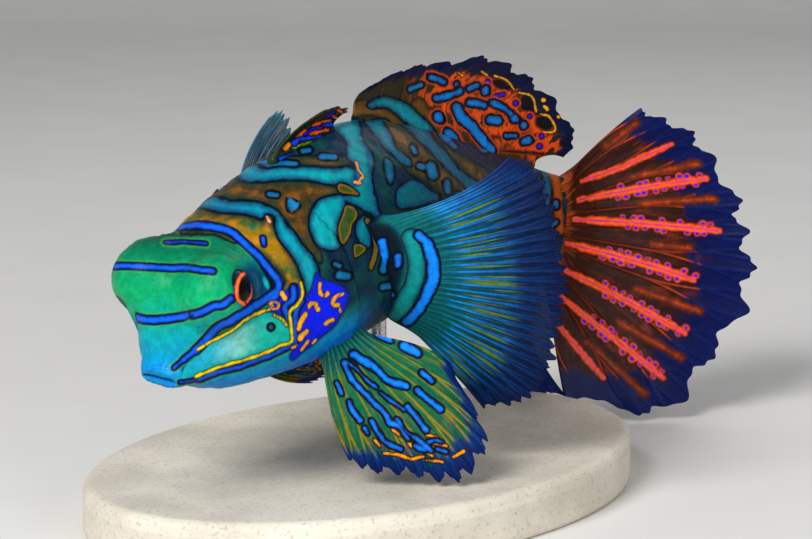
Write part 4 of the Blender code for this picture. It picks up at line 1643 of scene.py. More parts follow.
DORSAL_LAYERS = (
    Layer(Ink.EARTH, "3c3410", "6a4414", "020c14", 1.4, 1.3, 5.0),
    Layer(Ink.TEAL, "04506c", "068894", "010a14", 2.6, 1.0, 5.0),
    Layer(Ink.DARK, "060c10", "04080c", "883008", 1.6, 1.0, 2.0),
    Layer(Ink.YELLOW, "e08a10", "f8b814", "100c10", 1.0, 0.6, 1.0),
    Layer(Ink.VIOLET, "f0500c", "f0500c", "e8480c", 2.8, 1.2, 2.0),
    Layer(Ink.VIOLET, "2a12c0", "3a1ad8", "0c0414", 1.4, 0.7, 2.0),
    Layer(Ink.ROYAL, "0468a0", "0a88c8", "010408", 3.0, 0.8, 3.4, 4.0),
    Layer(Ink.AZURE, "e0480a", "e0480a", "d0440a", 4.4, 1.6, 2.0, 5.0),
    Layer(Ink.AZURE, "0458a8", "0a80d8", "010408", 2.8, 0.8, 3.4, 5.0),
)
FIN_LAYERS = (
    Layer(Ink.EARTH, "3c3010", "8a5416", "021018", 1.2, 1.3, 5.0),
    Layer(Ink.TEAL, "046068", "068a88", "02242c", 2.0, 1.2, 5.0),
    Layer(Ink.FLAME, "d04c0a", "f06a12", "0c0608", 1.4, 0.8, 2.0),
    Layer(Ink.DARK, "021c2c", "03141f", "03343c", 2.0, 3.0, 6.0, 3.0),
    Layer(Ink.OLIVE, "5a7410", "88961a", "06140c", 1.4, 0.8, 2.0, 2.0),
    Layer(Ink.ROYAL, "0434c8", "0850f0", "020418", 1.4, 0.8, 2.0, 2.0),
    Layer(Ink.YELLOW, "e0780a", "f89a14", "041c10", 1.4, 0.7, 1.4, 3.0),
    Layer(Ink.VIOLET, "2a12c0", "4a22e8", "060418", 1.2, 0.7, 2.0),
    Layer(Ink.AZURE, "0458c0", "0a84f0", "010814", 2.6, 0.9, 3.0, 4.0),
)
EYE_LAYERS = (
    Layer(Ink.AZURE, "0c4a78", "1464a0", "063048", 0.8, 0.8, 1.2),
    Layer(Ink.IRIS, "e8441a", "ff6a1c", "5a2010", 0.8, 0.6, 0.8),
    Layer(Ink.PUPIL, "02060a", "010204", "02060a", 0.2, 0.5, 1.0),
)


class Finish:
    """Shared steps of the painted finishes."""

    shared: dict[str, bpy.types.NodeTree] = {}
    edge_wobble: float = 1.4

    def group(self, sketch: Sketch, name: str, sources: dict[str, Source]) -> bpy.types.Node:
        """Add one of the shared groups, made at its first use.

        Args:
            sketch: Tree to write into.
            name: Name of the group.
            sources: Value or socket for each of its inputs.

        Returns:
            The group's node.
        """
        makers = {"lay_ink": ink_group, "skin_grain": grain_group}
        if name not in self.shared:
            self.shared[name] = makers[name]()
        made = sketch.node("ShaderNodeGroup", node_tree=self.shared[name])
        sketch.feed(made, sources)
        return made

    def lay(
        self,
        sketch: Sketch,
        colour: Socket,
        layers: tuple[Layer, ...],
        inks: frozenset[Ink],
        wobble: Socket,
        centres: dict[Ink, Socket] | None = None,
    ) -> Socket:
        """Lay the inks over a colour.

        Args:
            sketch: Tree to write into.
            colour: Colour under the inks.
            layers: Looks of the inks, from the lowest to the highest.
            inks: Inks that the piece carries.
            wobble: Cloudy value that roughens the edges.
            centres: Middle colours that take the place of a layer's own.

        Returns:
            The colour with the inks.
        """
        shift = sketch.scale(wobble, self.edge_wobble, -0.5 * self.edge_wobble)
        swell = sketch.math("SUBTRACT", sketch.noise(sketch.millimetres(), 0.9, 2.0), 0.5)
        for layer in layers:
            if layer.ink not in inks:
                continue
            distance = sketch.add(sketch.value(layer.ink.value), shift)
            distance = sketch.scale(swell, layer.lumps, distance)
            colour = self.group(sketch, "lay_ink", {
                "Under": colour,
                "Distance": distance,
                "Ink": linear(layer.colour),
                "Deep": (centres or {}).get(layer.ink, linear(layer.deep)),
                "Edge": linear(layer.edge),
                "Edge Width": layer.edge_width,
                "Softness": layer.softness,
                "Depth": layer.depth,
            }).outputs["Color"]
        return colour

    def start(self, name: str) -> tuple[bpy.types.Material, Sketch, bpy.types.Node]:
        """New material with its tree and its surface shader."""
        material = bpy.data.materials.new(name)
        material.use_nodes = True
        return material, Sketch(material.node_tree), material.node_tree.nodes["Principled BSDF"]

    def shade(self, sketch: Sketch, colour: Socket, cloud: Socket, thick: Point) -> Socket:
        """Dull a colour in patches.

        Args:
            sketch: Tree to write into.
            colour: Colour to dull.
            cloud: Cloudy value.
            thick: Value from which it is dullest, and the share there.

        Returns:
            The dulled colour.
        """
        value, share = thick
        dulled = sketch.step(cloud, 0.3, value, 0.0, share)
        return sketch.mix(dulled, colour, linear("3a4a5a"), "MULTIPLY")


@dataclass(frozen=True)
class SkinFinish(Finish):
    """Painted wet skin of the body."""

    inks: frozenset[Ink]
    roughness: float = 0.3
    bump: float = 0.05

    def lay_face(self, sketch: Sketch, colour: Socket, cloud: Socket, down: Socket) -> Socket:
        """Lay the green and blue of the face over a colour.

        Args:
            sketch: Tree to write into.
            colour: Colour under the face.
            cloud: Cloudy value that roughens the bands.
            down: Hundreds of pixels down.

        Returns:
            The colour with the face.
        """
        level = sketch.add(down, sketch.step(cloud, 0.3, 0.7, -0.06, 0.06))
        face = sketch.ramp(
            sketch.scale(level, 1 / 1.6, -2.3 / 1.6),
            ((0.02, "024838"), (0.2, "028858"), (0.4, "06a868"), (0.55, "02a08c"),
             (0.68, "029cac"), (0.84, "028cc8"), (1.0, "0678c8")),
        )
        face = sketch.mix(sketch.step(cloud, 0.4, 0.75, 0.0, 0.4), face, linear("027458"))
        return sketch.mix(sketch.step(sketch.value(Ink.FACE.value), 3.0, -3.0), colour, face)

    def centres(self, sketch: Sketch, place: Socket, across: Socket, down: Socket) -> dict[Ink, Socket]:
        """Middle colours of jaw, flank and bands, which change along the fish.

        Args:
            sketch: Tree to write into.
            place: Place on the piece in millimetres.
            across: Hundreds of pixels across.
            down: Hundreds of pixels down.

        Returns:
            A colour for each of the three inks.
        """
        jaw = sketch.ramp(
            sketch.scale(across, 1.0, -1.9),
            ((0.0, "0a98cc"), (0.2, "22b0cc"), (0.48, "84d4c8"), (0.7, "20c0ac"), (0.95, "02ac98")),
        )
        flank = sketch.ramp(
            sketch.scale(across, 0.5, -1.0),
            ((0.0, "046c90"), (0.4, "048ca0"), (0.6, "0498a0"), (0.85, "02747c"), (1.0, "026470")),
        )
        patchy = sketch.noise(place, 1.1, 4.0)
        bands = sketch.ramp(patchy, ((0.32, "222c18"), (0.48, "4c3414"), (0.66, "784a16")))
        brow = sketch.step(sketch.scale(down, -0.35, across), 2.16, 2.08)
        brow = sketch.times(brow, sketch.step(down, 2.1, 2.3))
        gold = sketch.ramp(patchy, ((0.36, "2c6234"), (0.5, "8a6a12"), (0.64, "b4780c")))
        return {Ink.JAW: jaw, Ink.TEAL: flank, Ink.EARTH: sketch.mix(brow, bands, gold)}

    def material(self) -> bpy.types.Material:
        """Make the material."""
        material, sketch, surface = self.start("skin")
        place = sketch.millimetres()
        grain = self.group(sketch, "skin_grain", {"Place": place})
        cloud = sketch.noise(place, 2.6, 4.0)
        fine = sketch.noise(place, 0.5, 3.0)
        ground = sketch.ramp(cloud, ((0.3, "021830"), (0.5, "03283c"), (0.68, "06403e")))
        picture = sketch.vector("picture")
        across, down = sketch.part(picture, "X"), sketch.part(picture, "Y")
        height = sketch.value("height")
        chin = sketch.ramp(sketch.step(height, -1.0, -5.0), ((0.0, "10a8a8"), (1.0, "0a5ac0")))
        front = sketch.step(sketch.value("station"), 17.0, 12.0)
        colour = sketch.mix(sketch.times(sketch.step(height, -1.5, -3.6), front), ground, chin)
        colour = self.lay_face(sketch, colour, cloud, down)
        centres = self.centres(sketch, place, across, down)
        colour = self.lay(sketch, colour, BODY_LAYERS, self.inks, fine, centres)
        sketch.feed(surface, {
            "Base Color": self.shade(sketch, colour, fine, (0.72, 0.28)),
            "Roughness": sketch.add(grain.outputs["Roughness"], self.roughness - 0.15),
        })
        sketch.bump(surface, grain.outputs["Height"], self.bump, 0.8)
        surface.inputs["Specular IOR Level"].default_value = 0.07
        surface.inputs["Coat Weight"].default_value = 0.02
        surface.inputs["Coat Roughness"].default_value = 0.3
        surface.inputs["Subsurface Weight"].default_value = 0.06
        surface.inputs["Subsurface Scale"].default_value = 0.4 * MM
        return material


@dataclass(frozen=True)
class EyeFinish(Finish):
    """Glossy eye with a dark pupil in a thin bright ring."""

    inks: frozenset[Ink]

    def material(self) -> bpy.types.Material:
        """Make the material."""
        material, sketch, surface = self.start("eye")
        place = sketch.millimetres()
        cloud = sketch.noise(place, 0.45, 4.0)
        fine = sketch.noise(place, 0.12, 2.0)
        ground = sketch.ramp(cloud, ((0.3, "02182c"), (0.5, "02283c"), (0.7, "04404c")))
        sketch.feed(surface, {
            "Base Color": self.lay(sketch, ground, EYE_LAYERS, self.inks, fine),
            "Roughness": sketch.step(fine, 0.2, 0.8, 0.06, 0.2),
        })
        sketch.bump(surface, cloud, 0.01, 0.3)
        surface.inputs["Specular IOR Level"].default_value = 0.1
        surface.inputs["Coat Weight"].default_value = 0.15
        surface.inputs["Coat Roughness"].default_value = 0.05
        return material


@dataclass(frozen=True)
class FinFinish(Finish):
    """Painted fin with rays, by the share of the ray's length from the root.

    A pair of shares is where a pattern starts and where it ends along the ray.
    """

    name: str
    ground: Stops
    rays: Stops
    inks: frozenset[Ink]
    layers: tuple[Layer, ...] = FIN_LAYERS
    net: str = ""
    net_from: float = 0.0
    net_reach: Point = (0.1, 0.7)
    dash: str = ""
    dash_reach: Point = (0.36, 0.66)
    dash_share: float = 0.9
    blush: str = ""
    clear_from: float = 1.0
    clear: float = 0.5

    def lay_net(
        self, sketch: Sketch, colour: Socket, place: Socket, fine: Socket, reach: Socket
    ) -> Socket:
        """Lay a net of wide cells over a colour, between two shares of the rays.

        Args:
            sketch: Tree to write into.
            colour: Colour under the net.
            place: Place on the piece in millimetres.
            fine: Cloudy value that roughens the net.
            reach: Share of the rays' length.

        Returns:
            The colour with the net.
        """
        low, high = self.net_reach
        cells = sketch.cells(place, 0.62, "DISTANCE_TO_EDGE")
        net = sketch.step(sketch.add(cells, sketch.step(fine, 0.3, 0.7, -0.08, 0.08)), 0.24, 0.1)
        net = sketch.times(net, sketch.step(reach, low - 0.1, low + 0.1))
        net = sketch.times(net, sketch.step(reach, high + 0.04, high - 0.04))
        across = sketch.part(sketch.vector("picture"), "X")
        net = sketch.times(net, sketch.step(across, self.net_from - 0.2, self.net_from + 0.2))
        return sketch.mix(net, colour, linear(self.net))

    def lay_dashes(
        self, sketch: Sketch, colour: Socket, fan: Socket, reach: Socket, ridge: Socket
    ) -> Socket:
        """Lay short dashes between the rays over a colour.

        Args:
            sketch: Tree to write into.
            colour: Colour under the dashes.
            fan: Ray number and distance along it.
            reach: Share of the rays' length.
            ridge: Share of a ray's ridge.

        Returns:
            The colour with the dashes.
        """
        low, high = self.dash_reach
        dash = sketch.step(sketch.streaks(fan, (4.0, 0.16, 1.0), 0.9, 1.0), 0.52, 0.6)
        dash = sketch.times(dash, sketch.step(reach, low - 0.06, low + 0.06))
        dash = sketch.times(dash, sketch.step(reach, high + 0.1, high - 0.1))
        dash = sketch.times(dash, sketch.step(ridge, 0.6, 0.25, 0.0, self.dash_share))
        return sketch.mix(dash, colour, linear(self.dash))

    def material(self) -> bpy.types.Material:
        """Make the material."""
        material, sketch, surface = self.start(self.name)
        place = sketch.millimetres()
        reach = sketch.value("reach")
        ridge = sketch.value("ray")
        fan = sketch.vector("fan")
        cloud = sketch.noise(place, 1.8, 4.0)
        fine = sketch.noise(place, 0.4, 3.0)
        streaks = sketch.streaks(fan, (3.2, 0.35, 1.0), 0.8, 3.0)
        wander = sketch.add(reach, sketch.step(cloud, 0.3, 0.7, -0.04, 0.04))
        wander = sketch.add(wander, sketch.step(streaks, 0.3, 0.7, -0.05, 0.05))
        rays = sketch.ramp(wander, self.rays)
        colour = sketch.ramp(wander, self.ground)
        colour = sketch.mix(sketch.step(streaks, 0.45, 0.75, 0.0, 0.5), colour, rays)
        if self.net:
            colour = self.lay_net(sketch, colour, place, fine, wander)
        colour = sketch.mix(sketch.step(ridge, 0.4, 0.9), colour, rays)
        if self.dash:
            colour = self.lay_dashes(sketch, colour, fan, reach, ridge)
        centres = {}
        if self.blush:
            warm = sketch.step(reach, 0.3, 0.7, 0.1, 0.85)
            warm = sketch.times(sketch.step(streaks, 0.42, 0.6), warm)
            centres[Ink.FLAME] = sketch.mix(warm, linear("f8600c"), linear(self.blush))
        colour = self.lay(sketch, colour, self.layers, self.inks, fine, centres)
        grain = self.group(sketch, "skin_grain", {"Place": place})
        sketch.feed(surface, {
            "Base Color": self.shade(sketch, colour, fine, (0.75, 0.3)),
            "Roughness": sketch.add(grain.outputs["Roughness"], 0.2),
        })
        height = sketch.add(grain.outputs["Height"], sketch.times(streaks, 1.2))
        sketch.bump(surface, height, 0.03, 0.7)
        surface.inputs["Specular IOR Level"].default_value = 0.07
        surface.inputs["Coat Weight"].default_value = 0.02
        surface.inputs["Coat Roughness"].default_value = 0.25
        if self.clear_from < 1.0:
            thin = sketch.step(reach, self.clear_from, self.clear_from + 0.2, 1.0, self.clear)
            alpha = sketch.math("MAXIMUM", thin, sketch.step(ridge, 0.3, 0.8))
            sketch.feed(surface, {"Alpha": alpha})
        return material


@dataclass(frozen=True)
class StoneFinish(Finish):
    """Pale fine-grained stone of the base."""

    pale: str = "d8d0c0"
    grey: str = "a8a090"

    def material(self) -> bpy.types.Material:
        """Make the material."""
        material, sketch, surface = self.start("stone")
        place = sketch.millimetres()
        cloud = sketch.noise(place, 6.0, 5.0)
        grain = sketch.noise(place, 0.3, 3.0)
        specks = sketch.cells(place, 2.1)
        veins = sketch.step(cloud, 0.3, 0.7, 0.0, 0.5)
        colour = sketch.mix(veins, linear(self.pale), linear(self.grey))
        colour = sketch.mix(sketch.step(grain, 0.55, 0.7, 0.0, 0.35), colour, linear("80786a"))
        colour = sketch.mix(sketch.step(specks, 0.12, 0.06, 0.0, 0.6), colour, linear("5a5248"))
        rough = sketch.step(grain, 0.2, 0.8, 0.5, 0.8)
        sketch.feed(surface, {"Base Color": colour, "Roughness": rough})
        sketch.bump(surface, grain, 0.05, 0.6)
        return material


@dataclass(frozen=True)
class SteelFinish(Finish):
    """Satin steel of the rod."""

    colour: str = "c8c8c8"

    def material(self) -> bpy.types.Material:
        """Make the material."""
        material, sketch, surface = self.start("steel")
        rings = sketch.streaks(sketch.millimetres(), (0.3, 0.3, 9.0), 1.0, 3.0)
        surface.inputs["Base Color"].default_value = linear(self.colour)
        surface.inputs["Metallic"].default_value = 1.0
        sketch.feed(surface, {"Roughness": sketch.step(rings, 0.3, 0.7, 0.2, 0.4)})
        sketch.bump(surface, rings, 0.01, 0.4)
        return material


def mirrored(root: tuple[Row, ...]) -> tuple[Row, ...]:
    """The same root on the right side of the body."""
    return tuple((u, station, 180.0 - angle) for u, station, angle in root)


LEFT_PECTORAL = Fin(
    name="pectoral_fin_left",
    root=((0.0, 17.6, 21.0), (0.5, 18.4, -12.0), (1.0, 19.8, -50.0)),
    rays=(
        (0.0, 7.4, 7.6, 2.6), (0.15, 8.4, 8.4, 2.5),
        (0.3, 8.7, 8.7, 0.1), (0.45, 8.6, 8.6, -2.5),
        (0.6, 8.0, 8.0, -5.0), (0.75, 7.1, 7.1, -7.5),
        (0.88, 5.7, 5.7, -9.1), (1.0, 3.7, 3.7, -8.6),
    ),
    bow=(
        (0.0, -0.1, 0.9, -0.7), (0.15, -0.5, 1.1, 0.0), (0.5, -0.8, 1.2, 0.2), (1.0, -0.3, 0.9, -0.3),
    ),
    ray_count=30,
    root_half=0.85,
    notch=0.05,
    per_ray=9,
    ridge=0.05,
    ridge_width=0.11,
    seed=3,
    pleat=0.045,
    ridge_start=(0.1, 0.4),
)
RIGHT_PECTORAL = Fin(
    name="pectoral_fin_right",
    root=mirrored(LEFT_PECTORAL.root),
    rays=(
        (0.0, 7.4, -2.2, 4.6), (0.15, 10.4, -3.4, 5.4),
        (0.3, 12.0, -4.4, 3.6), (0.45, 12.0, -5.8, 1.2),
        (0.6, 11.0, -7.6, -0.8), (0.75, 9.0, -8.8, -2.6),
        (0.88, 6.6, -8.9, -3.8), (1.0, 4.2, -7.8, -4.0),
    ),
    bow=((0.0, -0.2, -0.8, 0.2), (1.0, -0.4, -1.2, -0.2)),
    ray_count=30,
    root_half=0.8,
    notch=0.05,
    per_ray=9,
    ridge=0.05,
    ridge_width=0.11,
    seed=4,
    pleat=0.045,
)
LEFT_PELVIC = Fin(
    name="pelvic_fin_left",
    root=((0.0, 11.5, -55.0), (1.0, 15.5, -48.0)),
    rays=(
        (0.0, -2.0, 1.8, -7.0), (0.15, -1.7, 2.7, -8.4),
        (0.3, -0.7, 4.2, -9.5), (0.45, 0.3, 5.7, -10.7),
        (0.6, 1.4, 7.0, -11.2), (0.75, 2.9, 7.6, -9.8),
        (0.9, 3.2, 6.6, -7.4), (1.0, 3.3, 4.7, -3.5),
    ),
    bow=((0.0, -1.0, 0.6, 0.1), (0.5, -0.3, 1.2, 0.4), (1.0, 0.2, 0.8, 0.4)),
    ray_count=12,
    root_half=0.8,
    notch=0.07,
    per_ray=16,
    seed=5,
)
RIGHT_PELVIC = Fin(
    name="pelvic_fin_right",
    root=mirrored(LEFT_PELVIC.root),
    rays=(
        (0.0, 6.0, -0.2, -6.8), (0.3, 7.8, -1.0, -7.2),
        (0.6, 8.8, -2.2, -6.0), (0.8, 8.7, -3.0, -4.4),
        (1.0, 6.0, -3.4, -2.2),
    ),
    bow=((0.0, -0.6, -0.6, -0.8), (1.0, -0.6, -0.8, -0.8)),
    ray_count=12,
    root_half=0.7,
    notch=0.07,
    per_ray=16,
    seed=6,
)
FIRST_DORSAL = Fin(
    name="dorsal_fin_first",
    root=((0.0, 15.6, 90.0), (1.0, 21.4, 90.0)),
    rays=(
        (0.0, 6.2, 0.5, 1.5), (0.35, 5.4, 0.4, 1.2),
        (0.7, 4.0, 0.3, 0.8), (1.0, 2.2, 0.2, 0.5),
    ),
    bow=((0.0, -0.5, 0.3, 0.5), (1.0, -0.2, 0.1, 0.2)),
    ray_count=4,
    root_half=0.45,
    notch=0.1,
    per_ray=24,
    rows=60,
    seed=7,
)
SECOND_DORSAL = Fin(
    name="dorsal_fin_second",
    root=((0.0, 24.0, 90.0), (1.0, 49.5, 90.0)),
    rays=(
        (0.0, 1.4, 0.4, 1.9), (0.12, 1.8, 0.7, 3.3),
        (0.25, 1.8, 1.0, 4.5), (0.38, 2.0, 1.2, 5.3),
        (0.5, 3.0, 1.7, 6.5), (0.62, 4.2, 1.9, 6.3),
        (0.75, 4.8, 2.1, 5.5), (0.87, 5.4, 2.0, 3.8),
        (0.95, 5.4, 1.8, 2.2), (1.0, 3.4, 1.0, 1.0),
    ),
    bow=((0.0, -0.4, -0.2, 0.3), (0.5, -0.9, -0.3, 0.5), (1.0, -0.2, 0.0, 0.4)),
    ray_count=10,
    root_half=0.55,
    notch=0.09,
    wave=(0.25, 2.5),
    per_ray=26,
    rows=100,
    seed=8,
)
ANAL = Fin(
    name="anal_fin",
    root=((0.0, 31.0, -90.0), (1.0, 49.5, -90.0)),
    rays=(
        (0.0, 3.2, 1.2, -3.8), (0.3, 3.4, 1.5, -6.3),
        (0.5, 4.0, 1.9, -7.4), (0.7, 5.2, 2.2, -8.8),
        (0.85, 7.2, 2.2, -9.4), (1.0, 8.4, 1.9, -8.8),
    ),
    bow=((0.0, -0.4, -0.2, -0.3), (1.0, -0.6, -0.3, -0.4)),
    ray_count=8,
    root_half=0.55,
    notch=0.06,
    wave=(0.25, 2.0),
    per_ray=24,
    rows=90,
    seed=9,
)
CAUDAL = Fin(
    name="caudal_fin",
    root=((0.0, 4.3), (1.0, -4.1)),
    rays=(
        (0.0, 5.1, 2.9, 7.0), (0.12, 7.2, 4.8, 7.6),
        (0.25, 10.0, 7.8, 6.9), (0.38, 12.4, 10.4, 3.6),
        (0.5, 13.3, 11.1, 1.3), (0.62, 13.7, 11.5, -2.5),
        (0.75, 12.3, 9.6, -7.4), (0.88, 9.4, 6.3, -11.0),
        (1.0, 3.0, 1.7, -9.9),
    ),
    bow=((0.0, 0.5, -0.4, 0.4), (0.5, 1.2, -1.5, 0.0), (1.0, 0.5, -0.4, -0.4)),
    ray_count=12,
    root_half=0.95,
    notch=0.06,
    wave=(0.35, 2.5),
    per_ray=28,
    fork_spread=0.26,
    seed=10,
    on_tail=True,
)

# Stripes of the tail fin: width, and points from near its root to its tip, in pixels.
TAIL_STRIPES: tuple[tuple[float, tuple[Point, ...]], ...] = (
    (7.0, ((580, 181), (618, 168), (650, 154), (672, 144))),
    (5.0, ((631, 177), (665, 170), (697, 164))),
    (8.0, ((575, 200), (620, 192), (665, 184), (706, 179))),
    (5.0, ((640, 204), (676, 201), (714, 199))),
    (8.5, ((571, 219), (620, 222), (670, 226), (719, 231))),
    (4.5, ((652, 244), (690, 248))),
    (8.5, ((562, 243), (605, 253), (652, 266), (694, 280))),
    (5.0, ((636, 289), (668, 300), (699, 311))),
    (8.0, ((560, 269), (602, 288), (645, 311), (685, 333))),
    (5.0, ((618, 322), (650, 340), (681, 358))),
    (7.5, ((553, 291), (590, 320), (630, 351), (663, 378))),
    (4.5, ((587, 342), (616, 368), (645, 394))),
    (6.5, ((548, 313), (575, 345), (603, 378))),
    (4.0, ((605, 146), (622, 134), (636, 123))),
)


def tail_marks(dot_step: float = 10.0, dot_size: float = 2.6) -> tuple[Mark, ...]:
    """Marks of the tail fin: flame stripes with rose middles, between rows of violet dots.

    Args:
        dot_step: Distance between dots, in pixels.
        dot_size: Width of a dot, in pixels.

    Returns:
        The marks.
    """
    marks: list[Mark] = []
    draw = np.random.default_rng(4)
    for width, line in TAIL_STRIPES:
        course = smooth_line(np.array(line, float), closed=False, steps=12)
        lengths = np.concatenate([[0], np.hypot(*np.diff(course, axis=0).T).cumsum()])
        marks.append(Stroke(Ink.FLAME if width > 5.5 else Ink.EARTH, width * 0.7, line))
        if width <= 5.5:
            continue
        inner = [
            tuple(np.interp(share * lengths[-1], lengths, course[:, axis]) for axis in (0, 1))
            for share in np.linspace(0.12, 0.9, 7)
        ]
        marks.append(Stroke(Ink.FLAME, width, tuple(inner)))
        marks.append(Stroke(Ink.ROSE, width * 0.16, line))
        if width < 7.5:
            continue
        places = np.arange(lengths[-1] * 0.3, lengths[-1] * 0.97, dot_step)
        for at in places + draw.uniform(-0.2, 0.2, len(places)) * dot_step:
            middle, ahead = [
                np.array([np.interp(at + step, lengths, course[:, axis]) for axis in (0, 1)])
                for step in (0, 1)
            ]
            way = unit(ahead - middle)
            away = np.array([-way[1], way[0]]) * (width / 2 + dot_size * 0.7)
            for spot in (middle + away, middle - away + way * dot_step / 2):
                if draw.uniform() < 0.2:
                    continue
                spot = middle + (spot - middle) * draw.uniform(0.75, 1.0)
                place = (tuple(spot), tuple(spot + way * 1.5))
                size = dot_size * draw.uniform(0.7, 1.2)
                marks.append(Stroke(Ink.FLAME, size * 2.2, place))
                marks.append(Stroke(Ink.VIOLET, size, place))
    return tuple(marks)


TAIL_LAYERS = (
    Layer(Ink.EARTH, "8c3008", "c8440c", "481808", 3.0, 3.0, 4.0, 6.0),
    Layer(Ink.FLAME, "c83c0c", "f4581c", "1c0a08", 1.2, 1.2, 2.6, 4.0),
    Layer(Ink.ROSE, "d03078", "9828a0", "ee4a30", 0.4, 0.8, 1.2),
    Layer(Ink.VIOLET, "200cb0", "3a12d8", "c0305c", 0.7, 0.8, 1.2),
)


def inks_of(marks: tuple[Mark, ...]) -> frozenset[Ink]:
    """Inks that marks use."""
    return frozenset(mark.ink for mark in marks)


@dataclass(frozen=True)
class Stand:
    """Oval stone base and steel rod, in millimetres."""

    length: float = 50.0
    width: float = 34.0
    height: float = 3.8
    rounding: float = 0.8
    rod_radius: float = 1.0
    rod_station: float = 24.0
    collar_radius: float = 2.0
    collar_height: float = 0.9
    columns: int = 240

    def turned(self, name: str, profile: Array, centre: Row, scale: Point) -> bpy.types.Object:
        """Piece swept round an upright axis.

        Args:
            name: Name of the piece.
            profile: Rows of distance from the axis, height and inset, from the top down.
            centre: Place of the axis.
            scale: Reach of the profile's distance along X and Y.

        Returns:
            The piece.
        """
        turn = np.linspace(0, 2 * math.pi, self.columns, endpoint=False)
        share, height, inset = profile[:, :1], profile[:, 1:2], profile[:, 2:3]
        x = centre[0] + (share * scale[0] - inset) * np.cos(turn)
        y = centre[1] + (share * scale[1] - inset) * np.sin(turn)
        points = np.stack([x, y, np.broadcast_to(height, x.shape)], -1)
        return make_piece(name, points.reshape(-1, 3), *grid(points.shape[:2], True), {})

    def build_base(self) -> bpy.types.Object:
        """Make the oval base."""
        corner = np.radians(np.linspace(90, 0, 9))
        rows = [(share, self.height, self.rounding) for share in np.linspace(0.02, 1, 30)]
        rows[:-1] = [(share, height, inset * share) for share, height, inset in rows[:-1]]
        rows += [
            (1.0, self.height - self.rounding * (1 - math.sin(a)), self.rounding * (1 - math.cos(a)))
            for a in corner
        ]
        rows += [(1.0, level, 0.0) for level in np.linspace(self.height - self.rounding, 0.4, 8)]
        rows += [(1.0, 0.12, 0.1), (1.0, 0.0, 0.4), (0.4, 0.0, 0.1), (0.02, 0.0, 0.0)]
        reach = (self.length / 2, self.width / 2)
        piece = self.turned("base", np.array(rows), (0.0, 0.0), reach)
        dress(piece, StoneFinish().material(), "stand_base", "stand_base")
        return piece

    def build_rod(self) -> bpy.types.Object:
        """Make the rod with its collar."""
        belly = BODY.point(self.rod_station, -math.pi / 2)
        top = belly[2] + 0.5
        low = self.height
        rows = [(0.02, top, 0.0), (1.0, top, 0.0)]
        rows += [(1.0, level, 0.0) for level in np.linspace(top, low + 1.3, 24)[1:]]
        reach = self.collar_radius / self.rod_radius
        rows += [
            (1.05, low + self.collar_height + 0.2, 0.0),
            (1.2, low + self.collar_height + 0.05, 0.0),
            (reach - 0.25, low + self.collar_height, 0.0),
            (reach - 0.08, low + self.collar_height - 0.08, 0.0),
            (reach, low + self.collar_height - 0.25, 0.0),
            (reach, low + 0.1, 0.0),
            (reach - 0.1, low, 0.0),
            (0.02, low, 0.0),
        ]
        around = (self.rod_radius, self.rod_radius)
        piece = self.turned("rod", np.array(rows), tuple(belly[:2]), around)
        dress(piece, SteelFinish().material(), "stand_rod", "stand_rod")
        return piece


@dataclass(frozen=True)
class Studio:
    """Pale floor, rising far behind, and soft lamps. Sizes are metres."""

    half: float = 0.8
    rise_from: float = 0.35
    rise: float = 0.6
    aim: Row = (0.0, 0.0, 0.02)
    # lamps: name, place toward the camera, to its right and straight up, size, watts
    lamps: tuple[tuple[str, Row, float, float], ...] = (
        ("key", (0.26, -0.16, 0.2), 0.16, 1.6),
        ("fill", (0.3, 0.22, 0.06), 0.22, 0.6),
        ("rim", (-0.2, 0.1, 0.25), 0.15, 0.1),
    )

    def build_floor(self) -> None:
        """Make the floor and its finish."""
        side = np.linspace(-self.half, self.half, 41)
        away = np.linspace(-self.half, self.half * 1.2, 61)
        _, _, back = VIEW.axes()
        ahead = -unit(back * [1, 1, 0])
        across = np.array([-ahead[1], ahead[0], 0.0])
        height = self.rise * smooth_step(self.rise_from, self.half * 1.2, away)
        points = (
            away[:, None, None] * ahead + side[None, :, None] * across
            + height[:, None, None] * np.array([0.0, 0.0, 1.0])
        )
        points = points.reshape(-1, 3) / MM
        piece = make_piece("floor", points, *grid((len(away), len(side)), False), {})
        material, sketch, surface = Finish().start("floor")
        cloud = sketch.noise(sketch.millimetres(), 14.0, 4.0)
        colour = sketch.mix(cloud, linear("d4d2ce"), linear("dedcd8"))
        sketch.feed(surface, {"Base Color": colour})
        surface.inputs["Roughness"].default_value = 0.9
        surface.inputs["Specular IOR Level"].default_value = 0.1
        piece.data.materials.append(material)

    def add_lamp(self, name: str, place: Array, size: float, power: float) -> None:
        """Add one soft square lamp.

        Args:
            name: Name of the lamp.
            place: Place of the lamp.
            size: Side of the lamp.
            power: Power in watts.
        """
        light = bpy.data.lights.new(name, "AREA")
        light.size = size
        light.energy = power
        lamp = bpy.data.objects.new(name, light)
        bpy.context.scene.collection.objects.link(lamp)
        lamp.location = place
        way = Vector(place) - Vector(self.aim)
        lamp.rotation_euler = way.to_track_quat("Z", "Y").to_euler()

    def build(self) -> None:
        """Set the floor, the lamps and the air."""
        self.build_floor()
        right, _, back = VIEW.axes()
        for name, (toward, aside, high), size, power in self.lamps:
            place = back * toward + right * aside + np.array([0, 0, high])
            self.add_lamp(name, place, size, power)
        world = bpy.data.worlds.new("studio")
        bpy.context.scene.world = world
        world.use_nodes = True
        air = world.node_tree.nodes["Background"]
        air.inputs["Color"].default_value = linear("e4e8ee")
        air.inputs["Strength"].default_value = 0.36


